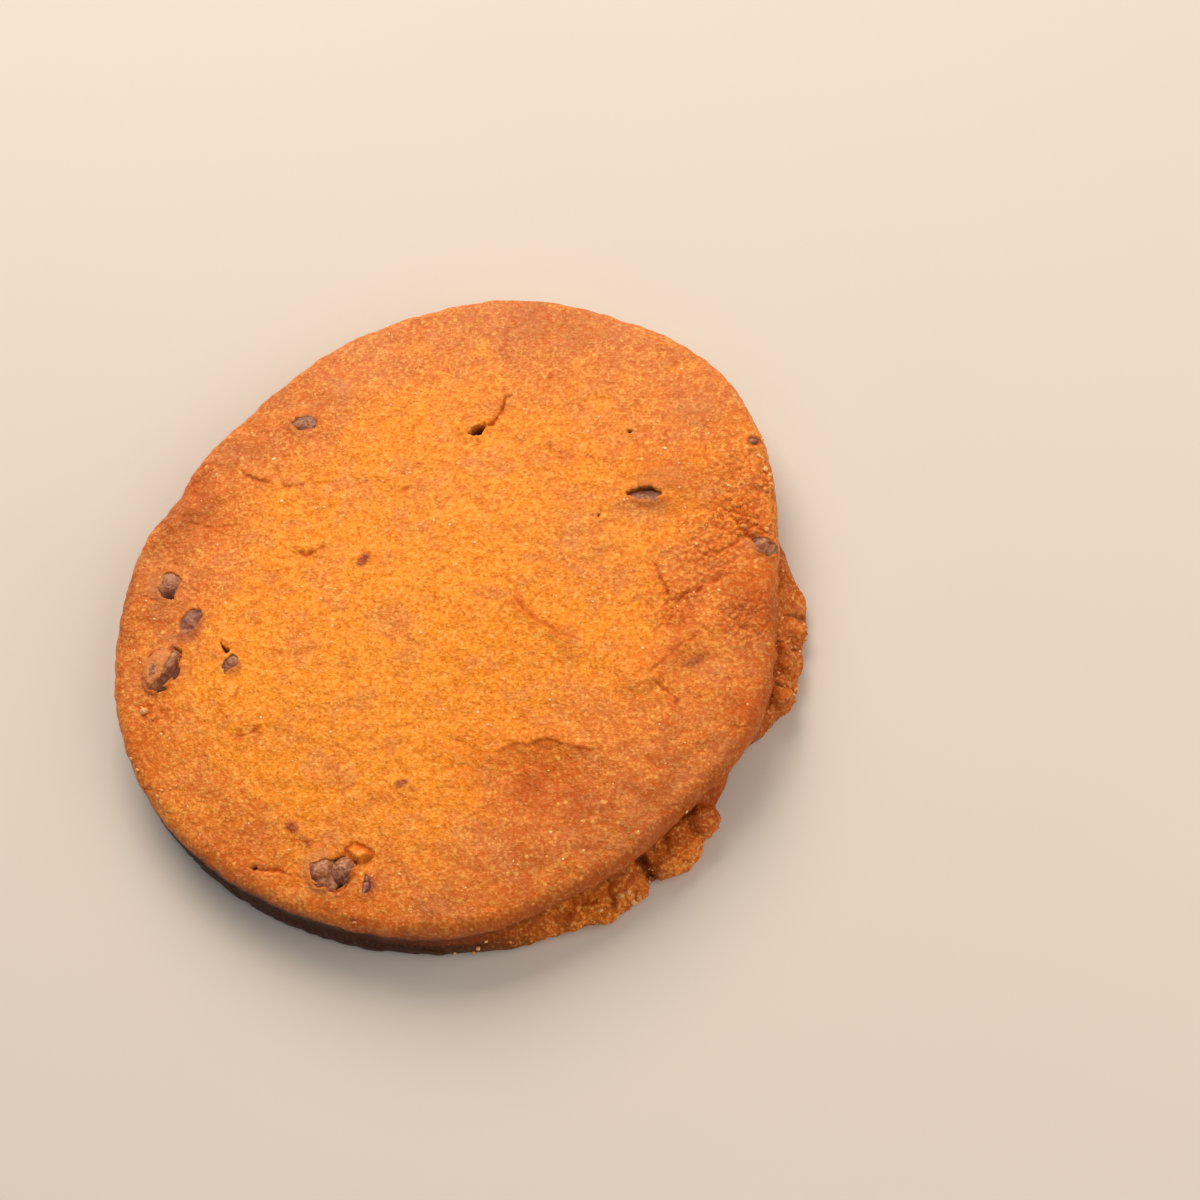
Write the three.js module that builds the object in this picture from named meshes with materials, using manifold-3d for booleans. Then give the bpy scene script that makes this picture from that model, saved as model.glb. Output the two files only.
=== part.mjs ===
// A large chocolate chip biscuit: one baked disc, domed on top and flat underneath, with an uneven
// outline, a ragged foot that stands out under parts of the rim, chocolate chips half sunk in the
// skin and one split that opens into a hole. Millimetres, +Z up, resting on z = 0.
import * as THREE from 'three';
import { mergeVertices } from 'three/addons/utils/BufferGeometryUtils.js';
import Module from 'manifold-3d';

// ---- Driving dimensions: millimetres, and degrees counted from +X towards +Y ----

const RIM_RADIUS = 48.9; // of the even disc that the lobes below push in and out
const RIM_HEIGHT = 9.6; // where the top turns over into the side
const DOME_RISE = 2.9; // of the middle over the rim
const DOME_POWER = 2.6; // flatter in the middle than a ball
const SHOULDER = 2.6; // rounding between top and side
const SHOULDER_END = 84; // how far round the top meets it
const FOOT_ROUND = 1.1; // rounding between side and base
const BOX_MIDDLE = { x: 0.9, y: 1.75 }; // middle of the outline's box, seen from the disc's axis

// Where the outline stands out or falls in: direction, half width and how far.
const OUTLINE_LOBES = [
  { at: 47, width: 26, out: 6.8 },
  { at: 83, width: 20, out: 3.4 },
  { at: 112, width: 13, out: 0.6 },
  { at: -18, width: 25, out: 1.7 },
  { at: -150, width: 32, out: 2.7 },
  { at: 157, width: 7, out: -1.3 },
  { at: 136, width: 18, out: -1.8 },
];

// The foot is the lowest band of the side. Under the front it spreads into a torn ledge.
const FOOT_HEIGHT = 3.2;
const FOOT_LOBES = [
  { at: -112, width: 26, out: 0.6 },
  { at: -76, width: 8, out: 0.4 },
  { at: -59, width: 6, out: 1.4 },
  { at: -44, width: 4.5, out: 1.9 },
  { at: -30, width: 11, out: -2.2 },
  { at: -10, width: 4, out: 1.3 },
  { at: 3, width: 8, out: 2.1 },
  { at: 62, width: 24, out: -1.4 },
  { at: 118, width: 14, out: 1.1 },
  { at: 166, width: 12, out: 0.8 },
];
// Small knobs along the torn part of the foot, at two sizes.
const FOOT_KNOBS = [
  { deep: 0.3, across: 7 },
  { deep: 0.2, across: 3.7 },
];
const SMOOTH_FOOT = { at: -125, width: 38 }; // here the foot has no knobs

// The side is drawn in between rim and foot, most of all above the ledge.
const GROOVE_HEIGHT = 4.9;
const GROOVE_SPREAD = 1.7;
const GROOVE_DEPTH = 0.35;
const GROOVE_LOBES = [
  { at: -55, width: 26, out: 1.3 },
  { at: 2, width: 14, out: 1.1 },
  { at: 125, width: 20, out: 0.5 },
];

// Relief of the top skin.
const SWELL_DEPTH = 0.16; // slow rise and fall all over
const HOLLOWS = [
  { x: 15.4, y: -26.5, radius: 6.0, depth: 0.95 },
  { x: -39.5, y: 19.5, radius: 3.4, depth: 0.6 },
  { x: -35.0, y: 12.8, radius: 3.6, depth: 0.5 },
  { x: 31.0, y: 14.0, radius: 5.0, depth: 0.35 },
];
const BUMPS = [
  { x: 32.5, y: 22.0, radius: 6.5, rise: 0.6 },
  { x: -18.5, y: 35.5, radius: 3.6, rise: 0.35 },
  { x: 39.5, y: 0.5, radius: 6.5, rise: 0.7 },
  { x: 36.0, y: 34.0, radius: 4.5, rise: 0.4 },
];
const RIDGES = [
  { width: 1.7, rise: 0.7, path: [[-47.5, 10.8], [-43.5, 13.2], [-40.5, 16.2], [-37.0, 18.8]] },
  { width: 1.8, rise: 0.4, path: [[8.4, -23.0], [10.5, -21.6], [16.3, -20.7], [23.9, -22.4]] },
  { width: 2.2, rise: 0.3, path: [[14.6, -3.4], [20.4, -5.8], [28.6, -11.3]] },
  { width: 2.4, rise: 0.5, path: [[28.6, -11.3], [31.1, -9.2], [35.0, -5.6], [38.2, -3.5]] },
];

// Chips in the top: place, half length and half breadth of what shows, how far they stand over the
// skin and the direction of their length.
const TOP_CHIPS = [
  { x: -42.4, y: 3.0, long: 2.2, broad: 1.9, over: 0.55, turn: 80 },
  { x: -37.9, y: -3.1, long: 2.5, broad: 1.5, over: 0.35, turn: 60 },
  { x: -41.7, y: -9.7, long: 3.9, broad: 2.7, over: 1.0, turn: 62 },
  { x: -31.1, y: -9.2, long: 1.4, broad: 1.0, over: 0.3, turn: 40 },
  { x: -15.4, y: -40.2, long: 2.3, broad: 2.1, over: 0.9, turn: 110 },
  { x: -12.3, y: -39.6, long: 2.0, broad: 1.7, over: 0.95, turn: 70 },
  { x: -8.5, y: -41.8, long: 1.5, broad: 0.8, over: 0.3, turn: 75 },
  { x: -24.0, y: 30.3, long: 2.1, broad: 1.4, over: 0.3, turn: 5 },
  { x: 28.4, y: 17.7, long: 2.6, broad: 1.0, over: 0.3, turn: 3 },
  { x: 45.9, y: 10.2, long: 1.9, broad: 1.6, over: 0.7, turn: 150 },
  { x: 44.4, y: 27.1, long: 1.2, broad: 0.9, over: 0.35, turn: 20 },
];
const CHIP_DEPTH = 1.5; // half the thickness of a chip

// Chips in the side, on the half that faces away: direction, height and half size.
const SIDE_CHIPS = [
  { at: 101, z: 5.8, long: 2.1, broad: 1.6, over: 0.6 },
  { at: 139, z: 6.2, long: 1.5, broad: 1.2, over: 0.5 },
  { at: -158, z: 4.8, long: 1.8, broad: 1.4, over: 0.5 },
  { at: 58, z: 4.6, long: 1.4, broad: 1.1, over: 0.5 },
];

// The split: a slanted hole, and the crack that runs back from it.
const HOLE = { depth: 2.6, outline: [[1.0, 28.2], [3.0, 27.9], [4.4, 29.4], [2.0, 29.2]] };
const CRACK = { depth: 0.9, width: 0.55, path: [[3.6, 29.1], [5.3, 31.0], [6.5, 34.4], [7.8, 34.8]] };

// How finely the surface is divided.
const TURNS = 104;
const BASE_SHARES = [0.4, 0.75, 0.94];
const FOOT_STEPS = 3;
const SIDE_STEPS = 6;
const SHOULDER_STEPS = 5;
const TOP_STEPS = 20;

// ---- Small sums ----

const radians = THREE.MathUtils.degToRad;
const degrees = THREE.MathUtils.radToDeg;
const smooth = THREE.MathUtils.smoothstep;

// 1 in the middle of a bump, gone about two widths away.
function bell(distance) {
  return Math.exp(-distance * distance);
}

function lobes(list, angle) {
  return list.reduce((sum, lobe) => {
    const off = THREE.MathUtils.euclideanModulo(angle - lobe.at + 180, 360) - 180;
    return sum + lobe.out * bell(off / lobe.width);
  }, 0);
}

// Knobs along the foot, as waves whose length is a whole part of the way round.
function knobs(angle) {
  const torn = 1 - lobes([{ ...SMOOTH_FOOT, out: 1 }], angle);
  const round = FOOT_KNOBS.map(({ deep, across }, i) => {
    const count = Math.round((2 * Math.PI * RIM_RADIUS) / across);
    return deep * Math.sin(radians(angle * count) + i);
  });
  return torn * (round[0] + round[1]);
}

function distanceToPath(x, y, path) {
  let nearest = Infinity;
  for (let i = 1; i < path.length; i++) {
    const [ax, ay] = path[i - 1];
    const [bx, by] = path[i];
    const along = ((x - ax) * (bx - ax) + (y - ay) * (by - ay)) / ((bx - ax) ** 2 + (by - ay) ** 2);
    const t = THREE.MathUtils.clamp(along, 0, 1);
    nearest = Math.min(nearest, Math.hypot(x - ax - t * (bx - ax), y - ay - t * (by - ay)));
  }
  return nearest;
}

// ---- The form of the baked disc ----

function outline(angle) {
  return RIM_RADIUS + lobes(OUTLINE_LOBES, angle);
}

function relief(x, y) {
  let z = SWELL_DEPTH * Math.sin(x / 8 + 1.3) * Math.cos(y / 9 - 0.4);
  z += SWELL_DEPTH * Math.sin((x - 2 * y) / 15 + 2);
  for (const { x: hx, y: hy, radius, depth } of HOLLOWS) z -= depth * bell(Math.hypot(x - hx, y - hy) / radius);
  for (const { x: bx, y: by, radius, rise } of BUMPS) z += rise * bell(Math.hypot(x - bx, y - by) / radius);
  for (const { path, width, rise } of RIDGES) z += rise * bell(distanceToPath(x, y, path) / width);
  return z;
}

function dome(share) {
  return RIM_HEIGHT + DOME_RISE * (1 - share ** DOME_POWER);
}

// Height of the top skin at a place.
function skin(x, y) {
  const share = Math.hypot(x, y) / outline(degrees(Math.atan2(y, x)));
  return dome(share) + relief(x, y);
}

// Half section of the even disc, from the middle of the base round to the middle of the top.
function profile() {
  const points = [new THREE.Vector2(0, 0)];
  const baseRadius = RIM_RADIUS - FOOT_ROUND;
  for (const share of BASE_SHARES) points.push(new THREE.Vector2(share * baseRadius, 0));
  for (let i = 0; i <= FOOT_STEPS; i++) {
    const a = radians(-90 + (90 * i) / FOOT_STEPS);
    points.push(new THREE.Vector2(baseRadius + FOOT_ROUND * Math.cos(a), FOOT_ROUND * (1 + Math.sin(a))));
  }
  const innerRadius = RIM_RADIUS - SHOULDER;
  const shoulderEdge = dome(innerRadius / RIM_RADIUS);
  const sideTop = shoulderEdge - SHOULDER;
  for (let i = 1; i < SIDE_STEPS; i++) {
    points.push(new THREE.Vector2(RIM_RADIUS, THREE.MathUtils.lerp(FOOT_ROUND, sideTop, i / SIDE_STEPS)));
  }
  for (let i = 0; i < SHOULDER_STEPS; i++) {
    const a = radians((SHOULDER_END * i) / (SHOULDER_STEPS - 1));
    points.push(new THREE.Vector2(innerRadius + SHOULDER * Math.cos(a), sideTop + SHOULDER * Math.sin(a)));
  }
  for (let i = TOP_STEPS - 1; i > 0; i--) {
    const share = ((innerRadius / RIM_RADIUS) * i) / TOP_STEPS;
    points.push(new THREE.Vector2(share * RIM_RADIUS, dome(share)));
  }
  points.push(new THREE.Vector2(0, dome(0)));
  return points;
}

// Moves one point of the even disc to where it lies on this biscuit.
function bake(point) {
  const angle = degrees(Math.atan2(point.y, point.x));
  const share = Math.hypot(point.x, point.y) / RIM_RADIUS;
  const side = smooth(share, 0.8, 0.97);
  const low = 1 - smooth(point.z, 0.55 * FOOT_HEIGHT, 1.35 * FOOT_HEIGHT);
  const foot = (lobes(FOOT_LOBES, angle) + knobs(angle)) * low;
  const groove = (GROOVE_DEPTH + lobes(GROOVE_LOBES, angle)) * bell((point.z - GROOVE_HEIGHT) / GROOVE_SPREAD);
  const radius = share * outline(angle) + side * (foot - groove);
  const x = radius * Math.cos(radians(angle));
  const y = radius * Math.sin(radians(angle));
  const top = smooth(point.z, RIM_HEIGHT - SHOULDER, RIM_HEIGHT);
  point.set(x, y, point.z + top * relief(x, y));
}

// ---- Solids ----

const wasm = await Module();
wasm.setup();

// A closed three.js geometry as a solid that can be joined and cut.
function solid(geometry) {
  const bare = geometry.index ? geometry.toNonIndexed() : geometry.clone();
  bare.deleteAttribute('normal');
  bare.deleteAttribute('uv');
  const merged = mergeVertices(bare, 1e-4);
  const corners = merged.index.array;
  const kept = [];
  for (let i = 0; i < corners.length; i += 3) {
    const [a, b, c] = [corners[i], corners[i + 1], corners[i + 2]];
    if (a !== b && b !== c && c !== a) kept.push(a, b, c);
  }
  const mesh = { numProp: 3, vertProperties: merged.attributes.position.array, triVerts: new Uint32Array(kept) };
  return new wasm.Manifold(new wasm.Mesh(mesh));
}

function geometryOf(body) {
  const mesh = body.getMesh();
  const geometry = new THREE.BufferGeometry();
  geometry.setAttribute('position', new THREE.BufferAttribute(mesh.vertProperties, 3));
  geometry.setIndex(new THREE.BufferAttribute(mesh.triVerts, 1));
  geometry.computeVertexNormals();
  return geometry;
}

function movePoints(geometry, move) {
  const place = geometry.attributes.position;
  const point = new THREE.Vector3();
  for (let i = 0; i < place.count; i++) {
    point.fromBufferAttribute(place, i);
    move(point);
    place.setXYZ(i, point.x, point.y, point.z);
  }
  return geometry;
}

function bakedDisc() {
  const even = new THREE.LatheGeometry(profile(), TURNS).rotateX(Math.PI / 2);
  return solid(movePoints(even, bake));
}

// A rounded lump with a few flats, as a chip that has softened and set again.
function lump(long, broad, high) {
  const ball = new THREE.IcosahedronGeometry(1, 1);
  return movePoints(ball, (p) => {
    const dent = 1 - 0.08 * Math.sin(5 * p.x + 2 * p.z) * Math.cos(4 * p.y + 1);
    p.set(p.x * long * dent, p.y * broad * dent, p.z * high * dent);
  });
}

// A sunk chip is wider below than what shows of it at the skin.
function hidden(over) {
  return Math.sqrt(1 - (1 - over / CHIP_DEPTH) ** 2);
}

function topChip(chip) {
  const piece = lump(chip.long / hidden(chip.over), chip.broad / hidden(chip.over), CHIP_DEPTH);
  piece.rotateZ(radians(chip.turn));
  return solid(piece.translate(chip.x, chip.y, skin(chip.x, chip.y) + chip.over - CHIP_DEPTH));
}

function sideChip(chip) {
  const piece = lump(CHIP_DEPTH, chip.long / hidden(chip.over), chip.broad / hidden(chip.over));
  const middle = outline(chip.at) - GROOVE_DEPTH + chip.over - CHIP_DEPTH;
  return solid(piece.translate(middle, 0, chip.z).rotateZ(radians(chip.at)));
}

// A straight-sided cut into the top, down from above the skin.
function cutFromAbove(outlinePoints, depth) {
  const shape = new THREE.Shape(outlinePoints.map(([x, y]) => new THREE.Vector2(x, y)));
  const [x, y] = outlinePoints[0];
  const cut = new THREE.ExtrudeGeometry(shape, { depth: depth + SHOULDER, bevelEnabled: false });
  return solid(cut.translate(0, 0, skin(x, y) - depth));
}

// Outline of a narrow strip along a path, closing to a point at its far end.
function strip(path, width) {
  const left = [];
  const right = [];
  path.slice(0, -1).forEach(([x, y], i) => {
    const [nx, ny] = path[i + 1];
    const long = Math.hypot(nx - x, ny - y);
    const across = [((y - ny) / long) * (width / 2), ((nx - x) / long) * (width / 2)];
    left.push([x + across[0], y + across[1]]);
    right.unshift([x - across[0], y - across[1]]);
  });
  return [...right, ...left, path[path.length - 1]];
}

function biscuit() {
  let body = bakedDisc();
  for (const chip of TOP_CHIPS) body = body.add(topChip(chip));
  for (const chip of SIDE_CHIPS) body = body.add(sideChip(chip));
  body = body.subtract(cutFromAbove(HOLE.outline, HOLE.depth));
  body = body.subtract(cutFromAbove(strip(CRACK.path, CRACK.width), CRACK.depth));
  const material = new THREE.MeshStandardMaterial({ color: '#dd8a45', roughness: 0.62, metalness: 0 });
  const mesh = new THREE.Mesh(geometryOf(body), material);
  mesh.name = 'biscuit';
  mesh.position.set(-BOX_MIDDLE.x, -BOX_MIDDLE.y, 0);
  return mesh;
}

const part = new THREE.Group();
part.add(biscuit());

export default part;
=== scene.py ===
"""Looks of a large chocolate chip biscuit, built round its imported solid.

The crust is one fine mesh spun from the same named sizes as the solid, with cracks, sockets, a split
and a torn ledge worked into it. Chips, crumbs and sugar grains are meshes of their own, set into it.
Form is worked out in millimetres, seen from the disc's axis, and placed in metres at the end.
"""

import math

import bmesh
import bpy
import numpy as np
from mathutils import Matrix, Vector, noise
from mathutils.bvhtree import BVHTree


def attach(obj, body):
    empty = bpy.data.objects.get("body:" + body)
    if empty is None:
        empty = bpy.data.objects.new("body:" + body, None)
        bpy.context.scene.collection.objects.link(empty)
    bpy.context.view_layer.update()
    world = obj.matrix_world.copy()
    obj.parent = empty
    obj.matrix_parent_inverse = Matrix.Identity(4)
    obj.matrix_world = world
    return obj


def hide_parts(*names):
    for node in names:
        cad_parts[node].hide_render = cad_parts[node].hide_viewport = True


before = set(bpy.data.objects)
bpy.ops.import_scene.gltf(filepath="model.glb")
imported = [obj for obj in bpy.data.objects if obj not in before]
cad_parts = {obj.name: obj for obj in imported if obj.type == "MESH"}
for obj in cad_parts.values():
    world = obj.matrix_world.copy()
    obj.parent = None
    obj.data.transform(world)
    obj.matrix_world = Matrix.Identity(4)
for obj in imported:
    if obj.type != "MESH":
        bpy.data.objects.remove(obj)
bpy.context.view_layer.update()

bl_info = {
    "name": "Chocolate chip biscuit",
    "version": (1, 0, 0),
    "blender": (4, 5, 0),
    "location": "3D View > Sidebar > Biscuit",
    "description": "Builds the crust, chocolate chips, crumbs and sugar of one baked biscuit",
    "category": "Add Mesh",
}

MM = 0.001
BODY = "root"
SOLID = "biscuit"

# ---- Form of the baked disc, as the solid has it: millimetres, and degrees from +X towards +Y ----

RIM_RADIUS = 48.9
RIM_HEIGHT = 9.6
DOME_RISE = 2.9
DOME_POWER = 2.6
SHOULDER = 2.6
SHOULDER_END = 84
FOOT_ROUND = 1.1
SECTION_DOTS = (60, 24, 12)  # on the half section's top, shoulder and foot
BOX_MIDDLE = (0.9, 1.75)  # of the solid's box, from the disc's axis

# Each lobe is its direction, its half width and how far it stands out.
OUTLINE_LOBES = [
    (47, 26, 6.8), (83, 20, 3.4), (112, 13, 0.6), (-18, 25, 1.7), (-150, 32, 2.7), (157, 7, -1.3),
    (136, 18, -1.8),
]
FOOT_HEIGHT = 3.2
FOOT_FADES = (0.55, 1.35)  # shares of that height between which the foot gives way to the side
SIDE_SETS_IN = (0.8, 0.97)  # shares of the rim's radius between which the side's form sets in
FOOT_LOBES = [
    (-112, 26, 0.6), (-76, 8, 0.4), (-59, 6, 1.4), (-44, 4.5, 1.9), (-30, 11, -2.2), (-10, 4, 1.3),
    (3, 8, 2.1), (62, 24, -1.4), (118, 14, 1.1), (166, 12, 0.8),
]
FOOT_KNOBS = (0.35, 6.5)  # how deep, how wide
# How far the top's rim lies in from the foot over the torn ledge, and the heights between which it does.
CREST_IN = [(-38, 17, 2.9), (-64, 14, 1.7), (-2, 17, 2.3)]
CREST_HEIGHTS = (3.6, 5.0)
# Where the foot lies under the rim, between the torn stretches.
FOOT_IN = [(-26, 8, 2.6), (22, 9, 1.2)]
SMOOTH_FOOT = [(-125, 38, 1)]
GROOVE_HEIGHT = 4.9
GROOVE_SPREAD = 1.7
GROOVE_DEPTH = 0.35
GROOVE_LOBES = [(-55, 26, 1.3), (2, 14, 1.1), (125, 20, 0.5)]

SWELL_DEPTH = 0.16
SWELLS_ACROSS = (8, 9, 15)  # along X, along Y and slantwise
SWELL_SHIFTS = (1.3, -0.4, 2)
HOLLOWS = [
    (15.4, -26.5, 6.0, 0.95), (-39.5, 19.5, 3.4, 0.6), (-35.0, 12.8, 3.6, 0.5), (31.0, 14.0, 5.0, 0.35),
]
BUMPS = [(32.5, 22.0, 6.5, 0.6), (-18.5, 35.5, 3.6, 0.35), (39.5, 0.5, 6.5, 0.7), (36.0, 34.0, 4.5, 0.4)]
RIDGES = [  # half width, rise, path
    (1.7, 0.7, [(-47.5, 10.8), (-43.5, 13.2), (-40.5, 16.2), (-37.0, 18.8)]),
    (1.8, 0.4, [(8.4, -23.0), (10.5, -21.6), (16.3, -20.7), (23.9, -22.4)]),
    (2.2, 0.3, [(14.6, -3.4), (20.4, -5.8), (28.6, -11.3)]),
    (2.4, 0.5, [(28.6, -11.3), (31.1, -9.2), (35.0, -5.6), (38.2, -3.5)]),
]

# Chips in the top: place, half length, half breadth, how far over the skin, direction, how brown
# (0 is purple), how much bloom, how dark one side is, partly painted shade, and the direction of that side.
TOP_CHIPS = [
    (-42.3, 3.7, 2.3, 1.8, 0.4, 80, 0.8, 0.6, 1.0, -80),
    (-38.2, -2.4, 2.6, 1.7, 0.3, 65, 0.2, 0.65, 0.7, 40),
    (-41.9, -9.8, 3.7, 2.7, 0.9, 72, 0.95, 0.85, 0.85, -25),
    (-31.3, -9.0, 1.5, 1.2, 0.2, 40, 0.4, 0.6, 0.8, 150),
    (-15.4, -40.2, 2.3, 2.0, 0.5, 110, 0.8, 0.85, 0.5, -150),
    (-12.3, -39.8, 1.9, 1.7, 1.0, 70, 0.55, 1.0, 0.6, -50),
    (-8.8, -41.7, 1.5, 0.8, 0.2, 75, 0.1, 0.8, 0.9, -20),
    (-24.0, 30.3, 2.1, 1.4, 0.2, 5, 0.1, 0.8, 0.4, -90),
    (28.4, 17.1, 2.6, 1.0, 0.3, 3, 0.1, 0.8, 0.8, 90),
    (45.9, 10.2, 1.9, 1.6, 0.6, 150, 0.7, 0.8, 0.6, 130),
    (43.8, 27.2, 0.7, 0.55, 0.3, 20, 0.0, 0.5, 0.0, 0),
]
CHIP_DEPTH = 1.5
FILM_THICK = 0.12  # skin over a sunk chip
CHIP_FLATS = (0.14, 2.2)  # how far a chip's flats depart from a ball, and how wide they are
CHIP_PITS = (0.03, 0.4)  # the same for its fine pits
FOLD_ACROSS = 3.4  # how far apart a chip's folds are
FOLD_WIDTH = 0.07  # as a share of that
FOLD_DEPTH = 0.15
# Painted shade in a chip's folds.
FOLD_DARK = 0.4
DARK_SPAN = (0.05, 0.65)  # where a chip's dark side sets in and is full, as shares of its half length
DARK_RAGGED = (0.25, 0.8)  # how uneven that edge is, and in lumps how wide
SIDE_CHIP_LOOK = {"brown": 0.6, "bloom": 0.5}
LUMPS_APART = 7.0  # between the stretches of noise that two chips are drawn from
# Chips in the side: direction, height, half length, half breadth, how far out.
SIDE_CHIPS = [
    (101, 5.8, 2.1, 1.6, 0.6), (139, 6.2, 1.5, 1.2, 0.5), (-158, 4.8, 1.8, 1.4, 0.5),
    (58, 4.6, 1.4, 1.1, 0.5),
]

# ---- Finer form than the solid has ----

# Where the skin is open over a chip: how deep it is cut, how wide the cut's wall is, and its outline.
OPENINGS = [
    (0.6, 0.5, [(-43.3, 5.6), (-42.4, 5.9), (-41.0, 5.2), (-40.5, 4.3), (-41.2, 2.6), (-41.5, 1.4),
                (-43.2, 1.7), (-43.9, 3.0), (-43.3, 4.2)]),
    (0.5, 0.45, [(-38.9, -0.9), (-38.3, -0.4), (-36.9, -0.5), (-36.7, -1.7), (-37.6, -3.6),
                 (-38.8, -4.5), (-39.6, -3.6), (-40.0, -2.6)]),
    (0.9, 0.35, [(-40.4, -6.5), (-39.6, -7.0), (-39.5, -8.6), (-39.7, -10.1), (-40.2, -11.2),
                 (-41.3, -12.3), (-42.4, -13.2), (-43.2, -12.7), (-42.4, -12.0), (-41.6, -11.0),
                 (-41.3, -10.0), (-41.0, -9.0), (-40.6, -8.1)]),
    (1.0, 0.12, [(-33.7, -5.0), (-32.8, -6.3), (-32.3, -6.8), (-31.8, -6.9), (-31.9, -7.6),
                 (-32.5, -7.4), (-33.1, -6.6)]),
    (1.1, 0.15, [(-31.4, -7.7), (-30.4, -8.3), (-30.4, -9.2), (-31.8, -9.9), (-32.1, -10.8),
                 (-32.4, -9.2), (-31.9, -8.3)]),
    (1.0, 0.2, [(-17.1, -38.9), (-17.1, -40.0), (-16.7, -41.0), (-15.9, -41.7), (-15.0, -41.5),
                (-13.5, -42.7), (-12.3, -42.0), (-11.3, -40.6), (-10.8, -39.4), (-10.7, -38.6),
                (-12.6, -37.8), (-13.8, -38.4), (-15.6, -38.4)]),
    (0.9, 0.2, [(-9.2, -40.4), (-8.6, -40.9), (-8.3, -41.9), (-8.6, -42.9), (-9.2, -42.7), (-9.4, -41.5)]),
    (0.45, 0.4, [(-26.1, 30.2), (-25.2, 31.2), (-23.3, 31.4), (-22.0, 30.6), (-22.4, 29.4),
                 (-24.6, 29.1)]),
    (0.9, 0.25, [(25.6, 17.8), (27.1, 18.8), (29.2, 19.0), (31.0, 17.9), (29.6, 16.9), (27.1, 17.1)]),
    (0.7, 0.4, [(44.1, 11.4), (46.1, 11.6), (47.6, 10.0), (46.8, 8.6), (45.2, 9.1)]),
    (0.3, 0.4, [(43.5, 27.7), (44.4, 28.2), (45.1, 27.5), (44.7, 26.6), (43.7, 26.8)]),
    # The split's slanted hole, and three pinholes.
    (2.5, 0.2, [(1.1, 28.0), (1.9, 29.1), (4.0, 29.6), (3.2, 27.9)]),
    (0.9, 0.12, [(25.2, 28.4), (25.7, 27.9), (26.2, 28.2), (25.8, 28.6)]),
    (0.6, 0.12, [(21.4, 14.7), (21.9, 14.6), (21.8, 13.9), (21.4, 14.1)]),
    (0.6, 0.15, [(-25.8, -39.5), (-25.3, -39.1), (-24.8, -39.4), (-25.3, -39.8)]),
]
# Knobs of dough on the skin: rise, width of their edge, outline.
KNOBS = [
    (0.75, 0.3, [(-12.0, -37.2), (-11.0, -36.1), (-9.3, -36.6), (-8.6, -37.7), (-10.2, -38.6),
                 (-11.4, -38.3)]),
    (0.6, 0.35, [(43.4, 12.6), (44.6, 13.4), (45.8, 12.3), (44.9, 11.4), (43.8, 11.6)]),
    (0.35, 0.3, [(-44.6, -15.7), (-43.4, -15.4), (-43.6, -16.6)]),
]
# Cracks in the skin: depth, width, path. They narrow to nothing at both ends.
CRACKS = [
    (0.35, 0.4, [(-44.7, -8.6), (-44.4, -7.8), (-43.7, -7.0), (-42.8, -6.7), (-41.3, -6.5),
                 (-40.0, -6.7)]),
    (0.3, 0.4, [(-42.6, -13.2), (-43.7, -12.3), (-44.6, -10.8), (-44.7, -9.1)]),
    (0.9, 0.35, [(-40.6, -6.3), (-39.5, -7.2), (-39.2, -8.6), (-39.3, -10.1), (-39.9, -11.5),
                 (-41.1, -12.7), (-42.5, -13.6)]),
    (0.7, 0.3, [(-17.1, -41.0), (-15.9, -42.1), (-14.9, -41.9), (-13.5, -43.0), (-12.0, -42.3),
                (-10.9, -40.6), (-10.4, -38.8)]),
    (0.4, 0.3, [(-12.2, -36.9), (-11.6, -38.2), (-10.6, -38.8), (-9.4, -38.7), (-8.2, -37.6)]),
    (0.3, 0.35, [(-46.3, 2.2), (-45.0, 1.7), (-43.9, 1.7)]),
    (1.0, 0.4, [(3.6, 29.2), (4.8, 29.8), (5.5, 31.4), (6.1, 32.7), (6.6, 34.4), (7.8, 34.8)]),
    (0.5, 0.4, [(29.8, 7.0), (31.1, 4.8), (32.2, 1.9), (33.3, 0.6)]),
    (0.5, 0.45, [(32.6, 1.2), (33.3, 0.6), (35.4, 2.4), (36.6, 2.9), (37.8, 3.8), (39.9, 5.0),
                 (42.2, 5.6)]),
    (0.45, 0.35, [(36.6, 7.4), (38.2, 8.8), (40.1, 9.4), (41.7, 10.1), (42.3, 11.2), (43.8, 12.4)]),
    (0.32, 0.4, [(33.3, 0.6), (33.0, -1.9), (32.5, -3.4), (33.4, -4.9)]),
    (0.42, 0.4, [(30.4, -11.6), (32.5, -13.0), (33.9, -14.2), (33.4, -15.6)]),
    (0.45, 0.35, [(-26.4, -39.3), (-22.8, -39.8), (-19.6, -40.4), (-17.0, -41.3)]),
    (0.3, 0.4, [(-42.4, 25.8), (-40.5, 24.3), (-39.3, 23.5), (-37.2, 24.6)]),
    (0.25, 0.4, [(-27.4, 20.6), (-25.6, 19.7), (-23.2, 19.9), (-22.0, 21.3)]),
    (0.3, 0.45, [(-23.9, 9.5), (-22.0, 8.2), (-20.0, 9.0), (-18.4, 9.3)]),
    (0.25, 0.4, [(-42.2, 15.6), (-39.8, 13.9), (-36.2, 13.3), (-33.6, 13.6)]),
    (0.35, 0.3, [(-46.6, -27.2), (-44.0, -27.5), (-41.5, -27.8)]),
    (0.25, 0.4, [(-30.9, -20.3), (-28.3, -20.1), (-26.0, -19.2), (-24.0, -18.6)]),
    (0.2, 0.35, [(-12.2, 21.0), (-11.0, 19.4), (-8.2, 18.6), (-5.8, 19.4), (-4.6, 21.2)]),
    (0.2, 0.4, [(14.2, 25.2), (17.0, 24.0), (20.6, 23.6)]),
    (0.25, 0.35, [(12.3, 37.6), (14.0, 37.9), (15.6, 37.6)]),
    (0.3, 0.35, [(41.2, -17.6), (43.0, -18.0), (45.0, -17.4)]),
]
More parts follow.
